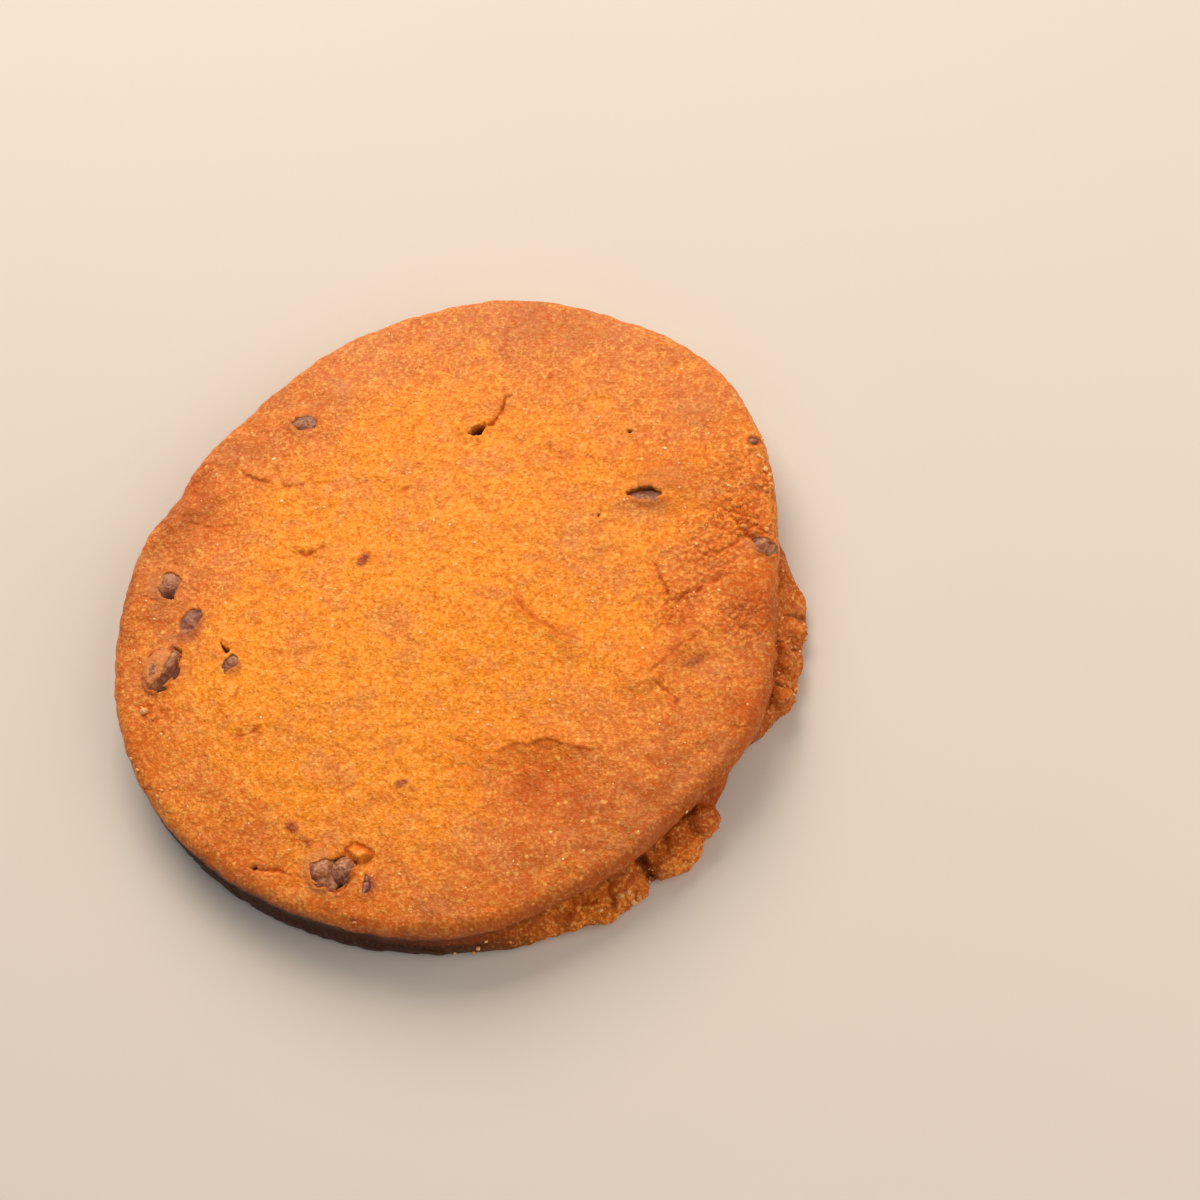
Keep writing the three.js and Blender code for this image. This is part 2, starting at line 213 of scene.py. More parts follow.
# Steps in the skin: rise on the left of the path, how far that side takes to fall back, path.
STEPS = [
    (0.42, 3.2, [(20.6, -6.0), (17.8, -4.6), (14.6, -3.4), (11.8, -1.7), (10.2, 1.0), (9.4, 3.2)]),
    (0.18, 2.6, [(7.9, -23.6), (9.8, -21.9), (13.0, -21.2), (16.3, -20.7), (18.0, -21.3), (21.0, -22.0),
                 (24.6, -22.6)]),
    (0.3, 2.0, [(38.6, -3.2), (35.0, -5.6), (31.1, -9.2), (28.4, -11.6)]),
    (0.25, 1.8, [(-33.5, 22.6), (-30.6, 20.5), (-28.0, 20.6)]),
]
# Purple marks where chocolate has stained the skin: place, half length, half breadth, direction, how strong.
STAINS = [
    (-12.9, 7.1, 1.35, 0.75, 52, 1.0), (-4.8, -27.2, 1.1, 0.6, 20, 0.95),
    (-3.0, -28.0, 0.9, 0.4, -10, 0.45), (-20.2, -33.6, 1.2, 0.8, -40, 0.95),
    (-18.2, -35.6, 1.4, 0.5, -45, 0.7), (36.4, -8.4, 1.6, 0.7, 30, 0.7),
    (22.2, 8.5, 1.3, 0.7, 10, 0.35), (44.3, 27.5, 1.2, 0.9, 20, 0.8), (-40.4, -6.5, 0.8, 0.8, 0, 0.8),
    (-13.0, -8.6, 0.45, 0.4, 0, 0.6), (-14.9, -9.2, 0.5, 0.4, 0, 0.5),
    (14.0, 26.3, 0.6, 0.35, -20, 0.55), (27.7, 1.3, 1.0, 0.5, 30, 0.4),
    (-10.6, -46.8, 0.5, 0.4, -45, 0.8), (-24.0, 30.3, 2.6, 1.5, 5, 0.3),
    (28.6, 16.9, 2.2, 0.8, -4, 0.45), (-37.9, -3.3, 2.6, 1.7, 60, 0.6), (-31.0, -9.6, 1.2, 1.2, 0, 0.5),
    (-8.4, -41.9, 1.6, 1.0, 75, 0.7), (34.0, 44.0, 1.8, 1.1, -25, 0.2),
]
# Thin skin that a chip shows through, greyish olive: place, half length, half breadth, direction, how strong.
FILMS = [
    (-44.2, 3.6, 1.5, 2.4, 0, 0.55), (-42.5, -9.7, 2.3, 3.7, -12, 0.75),
    (-41.0, -5.3, 1.7, 1.2, 20, 0.35), (-18.6, 35.4, 1.6, 2.6, 10, 0.4),
    (35.3, 32.7, 2.9, 1.7, 30, 0.35), (30.6, 20.2, 4.0, 2.0, 15, 0.35), (28.6, 15.9, 3.0, 1.1, 0, 0.3),
    (-17.3, -39.4, 1.2, 1.8, 0, 0.6), (-15.2, -42.6, 2.2, 0.9, -5, 0.5), (43.9, 10.6, 1.3, 1.2, 0, 0.4),
    (-16.0, -37.7, 1.8, 0.9, 20, 0.55), (-38.9, -4.8, 1.1, 1.0, 0, 0.5),
]
# Where the crust is darker (or paler, below 0) than its distance from the rim says: place, radius, how much.
BROWNED = [
    (29, -22, 14, 0.44), (35, -27, 6, -0.2), (15.5, -27.5, 6, 0.1), (42, 2, 11, 0.24),
    (14, -28, 6, 0.35), (0, -40, 16, 0.1), (-38, 14, 9, 0.3), (18, 34, 17, 0.16), (-43, -2, 8, 0.24),
    (-36, -30, 12, 0.06), (24, -44, 10, 0.1), (-22, -20, 14, -0.14), (-8, 10, 18, -0.16),
    (12, 14, 12, 0.1), (30, 27, 9, -0.15), (-24, 36, 12, 0.14), (-31, 25, 9, 0.14), (4, 45, 12, 0.14),
    (33, 33, 9, 0.08),
]
# Patches of another colour: golden where the dough stayed yellow, ember for deep orange painted shade in
# hollows, rosy for a mauve brown painted sheen, mostly near the far rim. Place, radius, how much.
TINTS = {
    "golden": [
        (19.8, 14.0, 1.9, 0.9), (-10, -16, 11, 0.5), (-16, -4, 12, 0.4), (-5, 6, 14, 0.3),
        (6, 24, 4, 0.35), (-27, -12, 9, 0.3),
    ],
    "ember_and_shade": [
        (15, -27, 7.5, 0.5), (6, -24.5, 5, 0.4), (-39.8, 19.5, 2.4, 0.5), (-35.5, 12.6, 2.6, 0.5),
        (31, 21, 5, 0.5), (30, -9.5, 3, 0.4), (34, -2, 3, 0.4), (43, 15, 3, 0.4), (46, 4, 5, 0.4),
        (44, -15, 4, 0.5), (10, -46, 6, 0.35), (-10, -47, 6, 0.45), (-28, -38, 6, 0.4),
        (-45, -22, 5, 0.4),
    ],
    "rosy_sheen": [
        (5, 50, 13, 0.95), (24, 49, 13, 0.9), (38, 41, 9, 0.6), (-15, 45, 11, 0.85), (-28, 36, 7, 0.4),
        (-42, 23, 7, 0.35), (-46, 8, 5, 0.3), (28, -31, 9, 0.3), (34, -26, 7, 0.22), (41, -8, 6, 0.35),
        (-42, 4, 4, 0.3), (8, -38, 8, 0.2), (20, 10, 7, 0.6), (33, 32, 8, 0.35), (-4, 20, 8, 0.25),
        (22, -16, 5, 0.2), (-30, 12, 7, 0.2), (-24, 27, 9, 0.3), (20, 35, 8, 0.3),
    ],
}
# Where the rim is darkened to a deep amber by painted shade, on its front and right: direction, half
# width, how much.
DARK_RIM = [(-42, 24, 1.0), (-12, 14, 0.3), (-78, 16, 0.5)]
# Where the side is darkest, browner and with painted shade on its front: direction, half width, how much.
DARK_SIDE = [(-113, 40, 0.6)]
# Where the top is crumbly: place, radius, how much.
CRUMBLED = [
    (42, 15, 5, 1.0), (38, 8, 5, 0.7), (34, 0, 4, 0.7), (44, -1, 5, 0.8), (41, 22, 5, 0.5),
    (46, 20, 3, 0.8), (-42, -16, 3, 0.5),
]

# The torn ledge: direction, half width, how torn. Its lumps: direction, height, half width, half height,
# how far out.
TORN = [(-64, 13, 1.0), (-44, 8, 1.0), (-13, 6, 0.6), (2, 9, 0.55), (118, 16, 0.7), (168, 12, 0.5)]
LEDGE_LUMPS = [
    (-72, 2.3, 2.6, 1.2, 0.5), (-66.5, 2.8, 2.0, 1.3, 0.6), (-61.5, 2.6, 2.4, 1.5, 0.7),
    (-57.0, 3.2, 1.6, 1.2, 0.8), (-54.2, 2.2, 1.3, 0.9, 0.7), (-47.6, 3.0, 1.6, 1.6, 0.6),
    (-43.4, 3.6, 2.2, 1.7, 0.7), (-38.4, 3.6, 2.4, 1.6, 1.6), (-13.6, 3.1, 2.3, 1.7, 1.3),
    (-6.6, 3.0, 2.8, 1.9, 0.9), (-0.6, 3.4, 2.4, 1.8, 0.7), (5.0, 3.2, 2.6, 1.7, 0.6),
    (-11.5, 5.2, 2.8, 1.5, 0.9), (-4.5, 5.4, 3.8, 1.7, 1.0), (4.0, 5.6, 4.4, 1.8, 1.1),
    (110, 2.6, 2.6, 1.5, 0.6), (117, 2.9, 2.2, 1.4, 0.7), (124, 2.5, 2.8, 1.4, 0.5),
    (164, 2.6, 2.4, 1.3, 0.5),
]
# Upright cracks across the ledge: direction, foot and head of the crack, depth, half width.
LEDGE_CRACKS = [
    (-11.2, 0.4, 5.2, 0.6, 0.35), (-3.6, 2.4, 5.0, 0.2, 0.3), (2.3, 2.0, 3.6, 0.12, 0.3),
    (-51.2, 0.2, 4.8, 1.8, 0.8),
]

# Crumbs seen on the top: place, radius, how pale.
CRUMBS = [
    (6.2, -48.6, 0.34, 0.85), (7.4, -47.9, 0.25, 0.85), (-43.8, -16.0, 0.57, 0.77),
    (-44.3, -15.5, 0.29, 0.51), (-40.2, -28.0, 0.25, 0.77), (-38.9, -27.8, 0.25, 0.68),
    (-37.9, -27.4, 0.20, 0.68), (40.0, 41.7, 0.57, 0.085), (40.8, 40.9, 0.66, 0), (41.4, 39.9, 0.49, 0),
    (42.0, 38.9, 0.41, 0.085), (45.0, 25.0, 0.33, 0.59), (45.9, 23.0, 0.41, 0.77),
    (46.6, 22.0, 0.33, 0.68), (46.9, 20.4, 0.41, 0.42), (47.6, 19.1, 0.33, 0.51),
    (46.3, 12.9, 0.33, 0.51), (43.0, 13.2, 0.37, 0.34), (44.8, 14.0, 0.29, 0.26),
    (36.1, 10.1, 0.29, 0.68), (41.2, 25.6, 0.25, 0.59), (45.4, 28.0, 0.25, 0.77),
    (27.4, -40.6, 0.37, 0.68), (26.3, -41.2, 0.49, 0.42), (27.9, -41.4, 0.57, 0.59),
    (28.8, -40.9, 0.41, 0.34), (-10.4, -47.0, 0.25, 0.51), (-42.5, -17.3, 0.25, 0.42),
    (-45.3, -23.0, 0.29, 0.51), (-44.1, -24.8, 0.33, 0.42), (-40.6, -29.0, 0.33, 0.51),
]
# Sugar grains seen on the top: place, radius.
SUGAR = [
    (-28.3, 24.4, 0.34), (-37.1, 22.2, 0.22), (-26.3, 17.2, 0.26), (-0.3, 12.6, 0.3), (-18.7, 0.9, 0.2),
    (-26.1, -17.5, 0.25), (-3.4, -4.6, 0.3), (-16.7, -3.4, 0.25), (5.6, -16.6, 0.3), (7.2, -18.4, 0.22),
    (31.2, 25.4, 0.3), (33.1, 39.6, 0.25), (-37.1, -1.6, 0.28), (-9.0, -41.3, 0.3), (25.4, 16.7, 0.25),
    (25.9, 16.8, 0.2), (-40.5, -9.5, 0.2), (-40.3, -8.7, 0.16), (-41.2, -11.8, 0.22),
    (27.6, 18.2, 0.14), (-38.9, -3.6, 0.16), (-33.2, 0.6, 0.22), (-34.0, 2.9, 0.2),
]

# ---- How finely the crust is divided: length of an edge in millimetres ----

RING_STEP = 2.1
TOP_EDGE = 0.76
SIDE_EDGE = 0.7
TORN_EDGE = 0.36
CRUMBLED_EDGE = 0.42
LINE_EDGE = 0.2
BASE_EDGE = 6.0
MOST_CUTS = 4  # how often an edge is halved at most
EDGE_GROWTH = 0.6  # how fast edges may lengthen away from a line
LINE_REACH = 0.35  # how far from a line they stay short
TORN_ENOUGH = 0.3  # from how torn, and how crumbly, the dough needs shorter edges
CRUMBLED_ENOUGH = 0.35
TORN_EDGES_FADE = (4.6, 6.4)  # heights between which the torn dough's short edges end
SOCKET_REACH = 1.6  # how far short edges reach round a chip in the side, in half widths
OVER_BASE = 0.05  # what lies lower is the base

# Lines and outlines in the skin are bent sideways by this much, in lumps this wide.
RAGGED = 0.42
RAGGED_ACROSS = 2.4
RAGGED_SHIFT = 40.0  # draws the second direction from another part of the noise
NOISE_SEED = 1  # without it, the noise that bends the seams is drawn from the clock

# ---- Relief of the dough, in millimetres ----

PUFF_ACROSS = 3.6
PUFF_SEAM = 0.35  # how wide the seams between puffs are, as a share of that
PUFF_RISE = 0.16
LUMP_ACROSS = 1.5
LUMP_RISE = 0.09
WAVE_ACROSS = 5
WAVE_RISE = 0.13
GRANULE_ACROSS = 1.3
GRANULE_SEAM = 0.3
# What share of a puff, and of a granule, lies over the even skin, so that the whole stays as thick.
PUFF_LEVEL = 0.8
GRANULE_LEVEL = 0.7
# Torn and crumbly dough: how far its granules rise, and the rise and breadth of its lumps and crumb.
TORN_FADES = (4.4, 6.2)  # heights between which the torn dough ends
TORN_GRANULES = 0.2
TORN_LUMPS = (0.34, 3.0)
TORN_CRUMB = (0.08, 0.7)
CRUMBLED_GRANULES = 0.36
CRUMBLED_LUMPS = (0.24, 1.6)
# The clefts between crumbly granules get the crack's painted shade.
CRUMBLED_CLEFTS = (-0.35, -0.7)  # how low between granules the dough starts to be a crack, and is one
PORE_DEPTH = 0.12
PORE_ACROSS = 5
PORE_LEVEL = 0.15

# ---- Shape of each kind of mark in the skin. Marks for colour are a strength and a breadth ----

STEP_ENDS = 0.2  # share of a step's length in which it rises out of the skin
STEP_SLOPE = 0.5  # how wide the slope is that it rises in
STEP_GROOVE = (0.25, 0.35)  # depth as a share of the rise, and breadth
# Painted shade in a step's groove: the crack colour, and deep orange beside it.
STEP_MARKS = {"crack": (0.55, 0.3), "ember_and_shade": (0.45, 0.8)}
CRACK_UNEVEN = (0.6, 0.9, 1.6)  # how open cracks are on average, by how much that varies, and how soon
CRACK_LEAST = 0.15  # how open they are at least
CRACK_NARROW = 0.4  # share of its breadth that a crack keeps at its ends
CRACK_WIDENS = 0.8  # share that comes on top where it is open
CRACK_SHOULDERS = 0.35  # share of a crack's depth in its soft shoulders
SHOULDERS_WIDE = 2.2  # breadth of the shoulders, and of the cleft between them, in the crack's own
CLEFT_WIDE = 0.6
CRACK_LIP = 0.15  # how high its lip is, as a share of its depth
# Cracks get painted shade, darker the deeper they are, and deep orange painted shade on their shoulders.
CRACK_DARKENS = 2.6  # how soon a deeper crack is wholly dark
CRACK_EMBER = (0.6, 1.8)
# Edges on the ledge are uneven in lumps this wide, by a share for its lumps, shade and upright cracks.
LEDGE_RAGGED = 2.2
LUMP_RAGGED = 0.45
SHADE_RAGGED = 0.7
CRACK_RAGGED = 0.5
LUMP_SPAN = (1.2, 0.4)  # where a lump starts and is full, in its half widths
SHADE_STARTS = (4.2, 5.0)  # heights between which the groove over the ledge turns dark
SHADE_ENDS = (5.6, 6.6)  # and light again
SHADE_DARK = 0.65
CRACK_FADES = (0.6, 0.8)  # below the foot of an upright crack, and over its head
# Painted shade in the ledge's upright cracks.
LEDGE_CRACK_DARK = 0.8
KNOB_SPAN = (1, -2.5)  # where a knob starts and is full, in widths of its edge
KNOB_GROOVE = (0.4, 0.5)  # how deep the groove round it is, and how far out
# Painted shade in the groove round a knob.
KNOB_MARKS = {"crack": (0.4, 0.4, 0.6), "ember_and_shade": (0.6, 0.6, 1.5)}  # strength, how far out, breadth
OPENING_RAGGED = (0.2, 1.1)  # how uneven an opening's edge is, and in lumps how wide
LIP = (0.14, 0.6, 0.5)  # how high an opening's lip is, how far out and how broad
WALL_SPAN = (0.3, -0.7)  # where its wall starts and ends, in widths of the wall
# Painted shade inside an opening.
WALL_DARK = 0.6  # how far from the middle of the wall it is dark and light
DARK_LEAST = 0.3  # how dark an opening is at least, and more for each millimetre of depth
DARK_BY_DEPTH = 0.6
SOCKET_WOBBLE = (0.1, 5)  # how far from even the sockets in the side are, and how often in a radian
SOCKET_LIP = (0.25, 1.25, 0.2)  # how high the lip is, how far out and how broad, in the chip's half widths
SOCKET_DEPTH = 0.7
SOCKET_SPAN = (1.08, 0.9)  # where the wall starts and ends, in the chip's half widths
# Painted shade inside a socket: how dark, and where it starts and is full, in the chip's half widths.
SOCKET_DARK = 0.9
SOCKET_DARK_SPAN = (1.2, 0.98)
COVER_FROM = (0.7, 1)  # how much of the top a place belongs to before its skin covers a chip
KNOB_REACH = 1.5  # how far a knob, and an opening, changes the skin round it
OPENING_REACH = 2.0

# ---- Browning of the crust, 0 in the pale middle to over 1 at the foot ----

MIDDLE_BROWN = 0.06
RIM_BROWN = 0.5
RIM_SPAN = (0.55, 1.02)  # shares of the rim's radius between which it sets in
UNEVEN_BROWN = (0.1, 16)  # by how much it varies, and in lumps how wide
SIDE_BROWN = 0.55
FOOT_BROWN = 0.4
FOOT_SPAN = (2.5, 9.0)  # heights between which the foot's own brown ends
STAIN_SPAN = (1.35, 0.55)  # where a stain or film starts and is full, in its half widths
# The dark rim is painted shade.
RIM_BAND = (0.935, 1.0)  # shares of the rim's radius between which the dark rim sets in
RIM_BAND_RAGGED = (0.012, 3)
ON_BASE = 0.02  # what lies no higher is the base

# ---- Crumbs and sugar grains scattered at random ----

CRUMB_SIZES = (0.12, 0.36)  # radius; the same for sugar grains
CRUMB_SUNK = (0.45, 0.7)  # share of its size that lies in the crust
CRUMB_HEIGHTS = (0.8, 4.6)
CRUMB_SPREAD = 0.6  # share of a torn stretch's half width that they mostly fall in
CRUMB_PALE = (0, 0.7)
CRUMB_SHAPE = (1.2, 0.95, 0.8)
CRUMB_UNEVEN = (0.9, 0.55, 1.3)  # its radius on average, by how much that varies, and how soon
CRUMBS_APART = 5.0  # between the stretches of noise that two crumbs are drawn from
NOTED_CRUMB_SUNK = 0.35
GRAIN_SIZES = (0.12, 0.24)
GRAIN_SHAPE = (0.75, 1.2)
GRAIN_SUNK = 0.6
GRAINS_OUT_TO = 0.93  # share of the top's area that they fall in
MOST_SPIN = 6  # radians that a lump is turned at most, nearly a whole turn

# ---- Colour texture, in millimetres ----

# Noise in the dough's colour: across, detail, distortion. "part" says where seams show. Flour and fine
# sugar are 0.1 mm across, too fine to show, so "fine" and the cells of "grain" are drawn coarser.
DOUGH_NOISES = {
    "fine": (0.35, 2, 0),
    "crumb": (0.6, 2, 0),
    "mottle": (2.4, 3, 0.3),
    "patch": (7.0, 3, 0.4),
    "blush": (5.0, 3, 0.6),
    "part": (2.0, 1, 0),
}
DOUGH_CELLS = {"grain": (0.5, "F1"), "sugar": (1.3, "F1"), "puff": (3.0, "DISTANCE_TO_EDGE")}
GRAIN_SWAY = 0.25  # how far the crumb noise shifts the grains
GRAIN_RISE = 0.09
# Bloom on chocolate and pits in crumbs are just as fine, and are drawn coarser too, so that they show.
BLOOM_DUST = 0.45
BLOOM_CLOUD = 1.6
BLOOM_RISE = 0.1
CRUMB_PITS = 0.3
PIT_RISE = 0.1
SUGAR_CLOUD = 0.8
BOARD_WAVE = 60

# ---- Stage, in metres: the lights' sides and places, and how far the floor lies below the biscuit ----

KEY_SIDE = 0.55
KEY_PLACE = (-0.18, 0.55, 0.5)
FILL_SIDE = 0.6
FILL_PLACE = (0.5, -0.08, 0.45)
FLOOR_GAP = 0.05 * MM

# ---- Camera: the way towards it from the biscuit in degrees, its distance in millimetres, and where
# the biscuit's middle lands in the 1200 px frame ----

VIEW_AZIMUTH = 24
VIEW_ELEVATION = 66
VIEW_DISTANCE = 360
VIEW_LENS = 72.9
SENSOR = 36
FRAME_PX = 1200
MIDDLE_PX = (452, 618)
AIM_HEIGHT = 7
AIM_TRIES = 12  # rounds that settle the aim
NEAREST = 0.01  # metres, from where the camera sees


# ---- Small sums ----


def linear(code):
    """A hex colour, as on a screen, as linear red, green and blue."""
    channels = [int(code[i : i + 2], 16) / 255 for i in (1, 3, 5)]
    return tuple(c / 12.92 if c <= 0.04045 else ((c + 0.055) / 1.055) ** 2.4 for c in channels)


def bell(distance):
    """1 at no distance, a third at 1 and next to nothing at 2."""
    return np.exp(-distance * distance)


def spot(x, y, at_x, at_y, radius):
    """1 at a place, and fading out round it."""
    return bell(np.hypot(x - at_x, y - at_y) / radius)


def smooth(low, high, x):
    """0 at one end and 1 at the other, with an even start and stop."""
    t = np.clip((x - low) / (high - low), 0, 1)
    return t * t * (3 - 2 * t)


def turn_between(angle, at):
    """Degrees from one direction to another, -180 to 180."""
    return (angle - at + 180) % 360 - 180


def lobes(table, angle):
    """How far lobes stand out in a direction. Each is its direction, half width and height."""
    return sum(out * bell(turn_between(angle, at) / width) for at, width, out in table)


def oval(x, y, at_x, at_y, long, broad, turn):
    """How far out a place is in an oval: 1 on its edge."""
    c, s = math.cos(math.radians(turn)), math.sin(math.radians(turn))
    along = (x - at_x) * c + (y - at_y) * s
    across = (y - at_y) * c - (x - at_x) * s
    return np.hypot(along / long, across / broad)


def beside(x, y, points, reach):
    """Which places lie within reach of the box round some points."""
    low, high = np.min(points, 0) - reach, np.max(points, 0) + reach
    return np.flatnonzero((x > low[0]) & (x < high[0]) & (y > low[1]) & (y < high[1]))


def to_path(x, y, path):
    """Distance to a path, its side (1 left, -1 right) and how far along it, 0 to 1."""
    path = np.asarray(path, float)
    run = np.r_[0, np.cumsum(np.hypot(*np.diff(path, axis=0).T))]
    best, side, along = np.full(len(x), 1e9), np.ones(len(x)), np.zeros(len(x))
    for (ax, ay), (bx, by), start, end in zip(path, path[1:], run, run[1:]):
        dx, dy = bx - ax, by - ay
        t = np.clip(((x - ax) * dx + (y - ay) * dy) / (end - start) ** 2, 0, 1)
        away = np.hypot(x - ax - t * dx, y - ay - t * dy)
        closer = away < best
        best[closer] = away[closer]
        side[closer] = np.sign(dx * (y - ay) - dy * (x - ax))[closer]
        along[closer] = ((start + t * (end - start)) / run[-1])[closer]
    return best, side, along


def rounded(path):
    """The path with its corners cut off twice, so that it runs as a curve."""
    path = np.asarray(path, float)
    for _ in range(2):
        before, after = 0.75 * path[:-1] + 0.25 * path[1:], 0.25 * path[:-1] + 0.75 * path[1:]
        path = np.vstack([path[:1], np.stack([before, after], 1).reshape(-1, 2), path[-1:]])
    return path


def to_outline(x, y, outline):
    """Distance to a closed outline, below 0 inside it."""
    closed = np.vstack([outline, outline[:1]])
    distance = to_path(x, y, closed)[0]
    inside = np.zeros(len(x), bool)
    for (ax, ay), (bx, by) in zip(closed, closed[1:]):
        if ay != by:
            inside ^= ((ay > y) != (by > y)) & (x < (bx - ax) * (y - ay) / (by - ay) + ax)
    return np.where(inside, -distance, distance)


def softened(outline):
    """A closed outline with its corners cut off."""
    after = np.roll(outline, -1, 0)
    return np.stack([0.86 * outline + 0.14 * after, 0.14 * outline + 0.86 * after], 1).reshape(-1, 2)


def rough(points, across, octaves=3):
    """Fractal noise, about -1 to 1, whose widest lumps are that many millimetres across."""
    return np.array([noise.fractal(p, 1.0, 2.0, octaves) for p in (points / across).tolist()])


def puffs(points, across):
    """How far a place is from the seams between puffs of dough, 0 on a seam. Same on every run."""
    noise.seed_set(NOISE_SEED)
    seams = []
    for p in (points / across).tolist():
        bent = Vector(p) + 0.4 * noise.noise_vector(Vector(p) * 0.8)
        near = noise.voronoi(bent)[0]
        seams.append(near[1] - near[0])
    return np.array(seams)


# ---- The baked disc ----


def half_section():
    """The even disc's half section, closely dotted: distance from the axis, and height."""
    inner = RIM_RADIUS - SHOULDER
    side_top = dome(inner / RIM_RADIUS) - SHOULDER
    foot = RIM_RADIUS - FOOT_ROUND
    on_top, on_shoulder, on_foot = SECTION_DOTS
    out = np.linspace(0, inner, on_top)
    over = np.radians(np.linspace(SHOULDER_END, 0, on_shoulder))
    under = np.radians(np.linspace(0, -90, on_foot))
    radius = np.r_[out, inner + SHOULDER * np.cos(over), foot + FOOT_ROUND * np.cos(under), 0]
    rounded_foot = FOOT_ROUND * (1 + np.sin(under))
    height = np.r_[dome(out / RIM_RADIUS), side_top + SHOULDER * np.sin(over), rounded_foot, 0]
    run = np.r_[0, np.cumsum(np.hypot(np.diff(radius), np.diff(height)))]
    return run, radius, height


def dome(share):
    """How high the even top lies at a share of the rim's radius."""
    return RIM_HEIGHT + DOME_RISE * (1 - share**DOME_POWER)


def outline(angle):
    """How far out the foot lies in a direction."""
    return RIM_RADIUS + lobes(OUTLINE_LOBES, angle)


def crest(angle):
    """The top's own outline, which lies in from the foot where that is torn."""
    return outline(angle) - lobes(CREST_IN, angle)


def crumbliness(x, y):
    """How crumbly the top is at a place, 0 to 1."""
    patches = [amount * spot(x, y, at_x, at_y, radius) for at_x, at_y, radius, amount in CRUMBLED]
    return np.max(patches, 0)


def tornness(angle):
    """How torn the foot is in a direction, 0 to 1."""
    return np.clip(lobes(TORN, angle), 0, 1)


def foot_knobs(angle):
    """Uneven knobs along the foot, where it is torn."""
    deep, across = FOOT_KNOBS
    turn = np.radians(angle)
    round_foot = RIM_RADIUS * np.stack([np.cos(turn), np.sin(turn), 0 * turn], 1)
    return deep * (1 - lobes(SMOOTH_FOOT, angle)) * rough(round_foot, across, 3)


def relief(x, y):
    """How far the top rises or sinks at a place: swells, hollows, bumps and ridges."""
    (along_x, along_y, slanted), (shift_x, shift_y, shift) = SWELLS_ACROSS, SWELL_SHIFTS
    z = SWELL_DEPTH * np.sin(x / along_x + shift_x) * np.cos(y / along_y + shift_y)
    z += SWELL_DEPTH * np.sin((x - 2 * y) / slanted + shift)
    for at_x, at_y, radius, depth in HOLLOWS:
        z -= depth * spot(x, y, at_x, at_y, radius)
    for at_x, at_y, radius, rise in BUMPS:
        z += rise * spot(x, y, at_x, at_y, radius)
    for width, rise, path in RIDGES:
        z += rise * bell(to_path(x, y, path)[0] / width)
    return z


def skin(x, y):
    """How high the top lies at a place."""
    x, y = np.atleast_1d(np.asarray(x, float)), np.atleast_1d(np.asarray(y, float))
    share = np.hypot(x, y) / crest(np.degrees(np.arctan2(y, x)))
    over_edge = np.clip((share - 1) * RIM_RADIUS / SHOULDER + 1, 0, 1)
    return dome(share) + relief(x, y) - SHOULDER * (1 - np.sqrt(1 - over_edge**2))


SECTION = half_section()


def form(place):
    """Where points of the unrolled disc lie on this biscuit. Their distance from the middle is the way
    from the top's middle over the side, and their direction is the direction on the biscuit."""
    run, radius, height = SECTION
    angle = np.degrees(np.arctan2(place[:, 1], place[:, 0]))
    way = np.hypot(place[:, 0], place[:, 1])
    r, z = np.interp(way, run, radius), np.interp(way, run, height)
    share = r / RIM_RADIUS
    side = smooth(*SIDE_SETS_IN, share)
    full, gone = FOOT_FADES
    low = 1 - smooth(full * FOOT_HEIGHT, gone * FOOT_HEIGHT, z)
    foot = (lobes(FOOT_LOBES, angle) + foot_knobs(angle)) * low
    groove = (GROOVE_DEPTH + lobes(GROOVE_LOBES, angle)) * bell((z - GROOVE_HEIGHT) / GROOVE_SPREAD)
    high = smooth(*CREST_HEIGHTS, z)
    drawn_in = lobes(CREST_IN, angle) * high + lobes(FOOT_IN, angle) * (1 - high)
    r = share * outline(angle) + side * (foot - groove - drawn_in)
    x, y = r * np.cos(np.radians(angle)), r * np.sin(np.radians(angle))
    z = z + smooth(RIM_HEIGHT - SHOULDER, RIM_HEIGHT, z) * relief(x, y)
    return np.stack([x, y, z], 1)


# ---- The crust's mesh: rings stitched together, then cut finer where it needs it ----


def rings():
    """Rings of the unrolled disc, each with its distance and its number of points."""
    run, radius, _ = SECTION
    over_rim = run[np.argmax(radius > RIM_RADIUS - SHOULDER)]
    base_edge = run[-2]
    across = round(over_rim / RING_STEP)
    down = round((base_edge - over_rim) / RING_STEP)
    top = [(over_rim * k / across, 6 * k) for k in range(1, across + 1)]
    side = [(over_rim + (base_edge - over_rim) * k / down, 6 * across) for k in range(1, down + 1)]
    base = [(run[-1] - (run[-1] - base_edge) * k / across, 6 * k) for k in range(across - 1, 0, -1)]
    return [(0, 1)] + top + side + base + [(run[-1], 1)]


def stitched():
    """Points and triangles of the whole crust, before it is cut finer."""
    place, faces, before = [], [], None
    for number, (way, count) in enumerate(rings()):
        turns = 2 * np.pi * (np.arange(count) + 0.5 * (number % 2)) / count
        ring = np.arange(count) + len(place)
        place += list(np.stack([way * np.cos(turns), way * np.sin(turns)], 1))
        if before is not None:
            faces += zipped(before, ring)
        before = ring
    return np.array(place), np.array(faces)


def zipped(inner, outer):
    """Triangles between two rings, walking round both."""
    faces, i, o = [], 0, 0
    while i < len(inner) * (len(inner) > 1) or o < len(outer) * (len(outer) > 1):
        a, b = inner[i % len(inner)], outer[o % len(outer)]
        step_in = (i + 1) / len(inner) if len(inner) > 1 else 2
        step_out = (o + 1) / len(outer) if len(outer) > 1 else 2
        if step_in < step_out:
            i += 1
            faces.append((a, b, inner[i % len(inner)]))
        else:
            o += 1
            faces.append((a, b, outer[o % len(outer)]))
    return faces


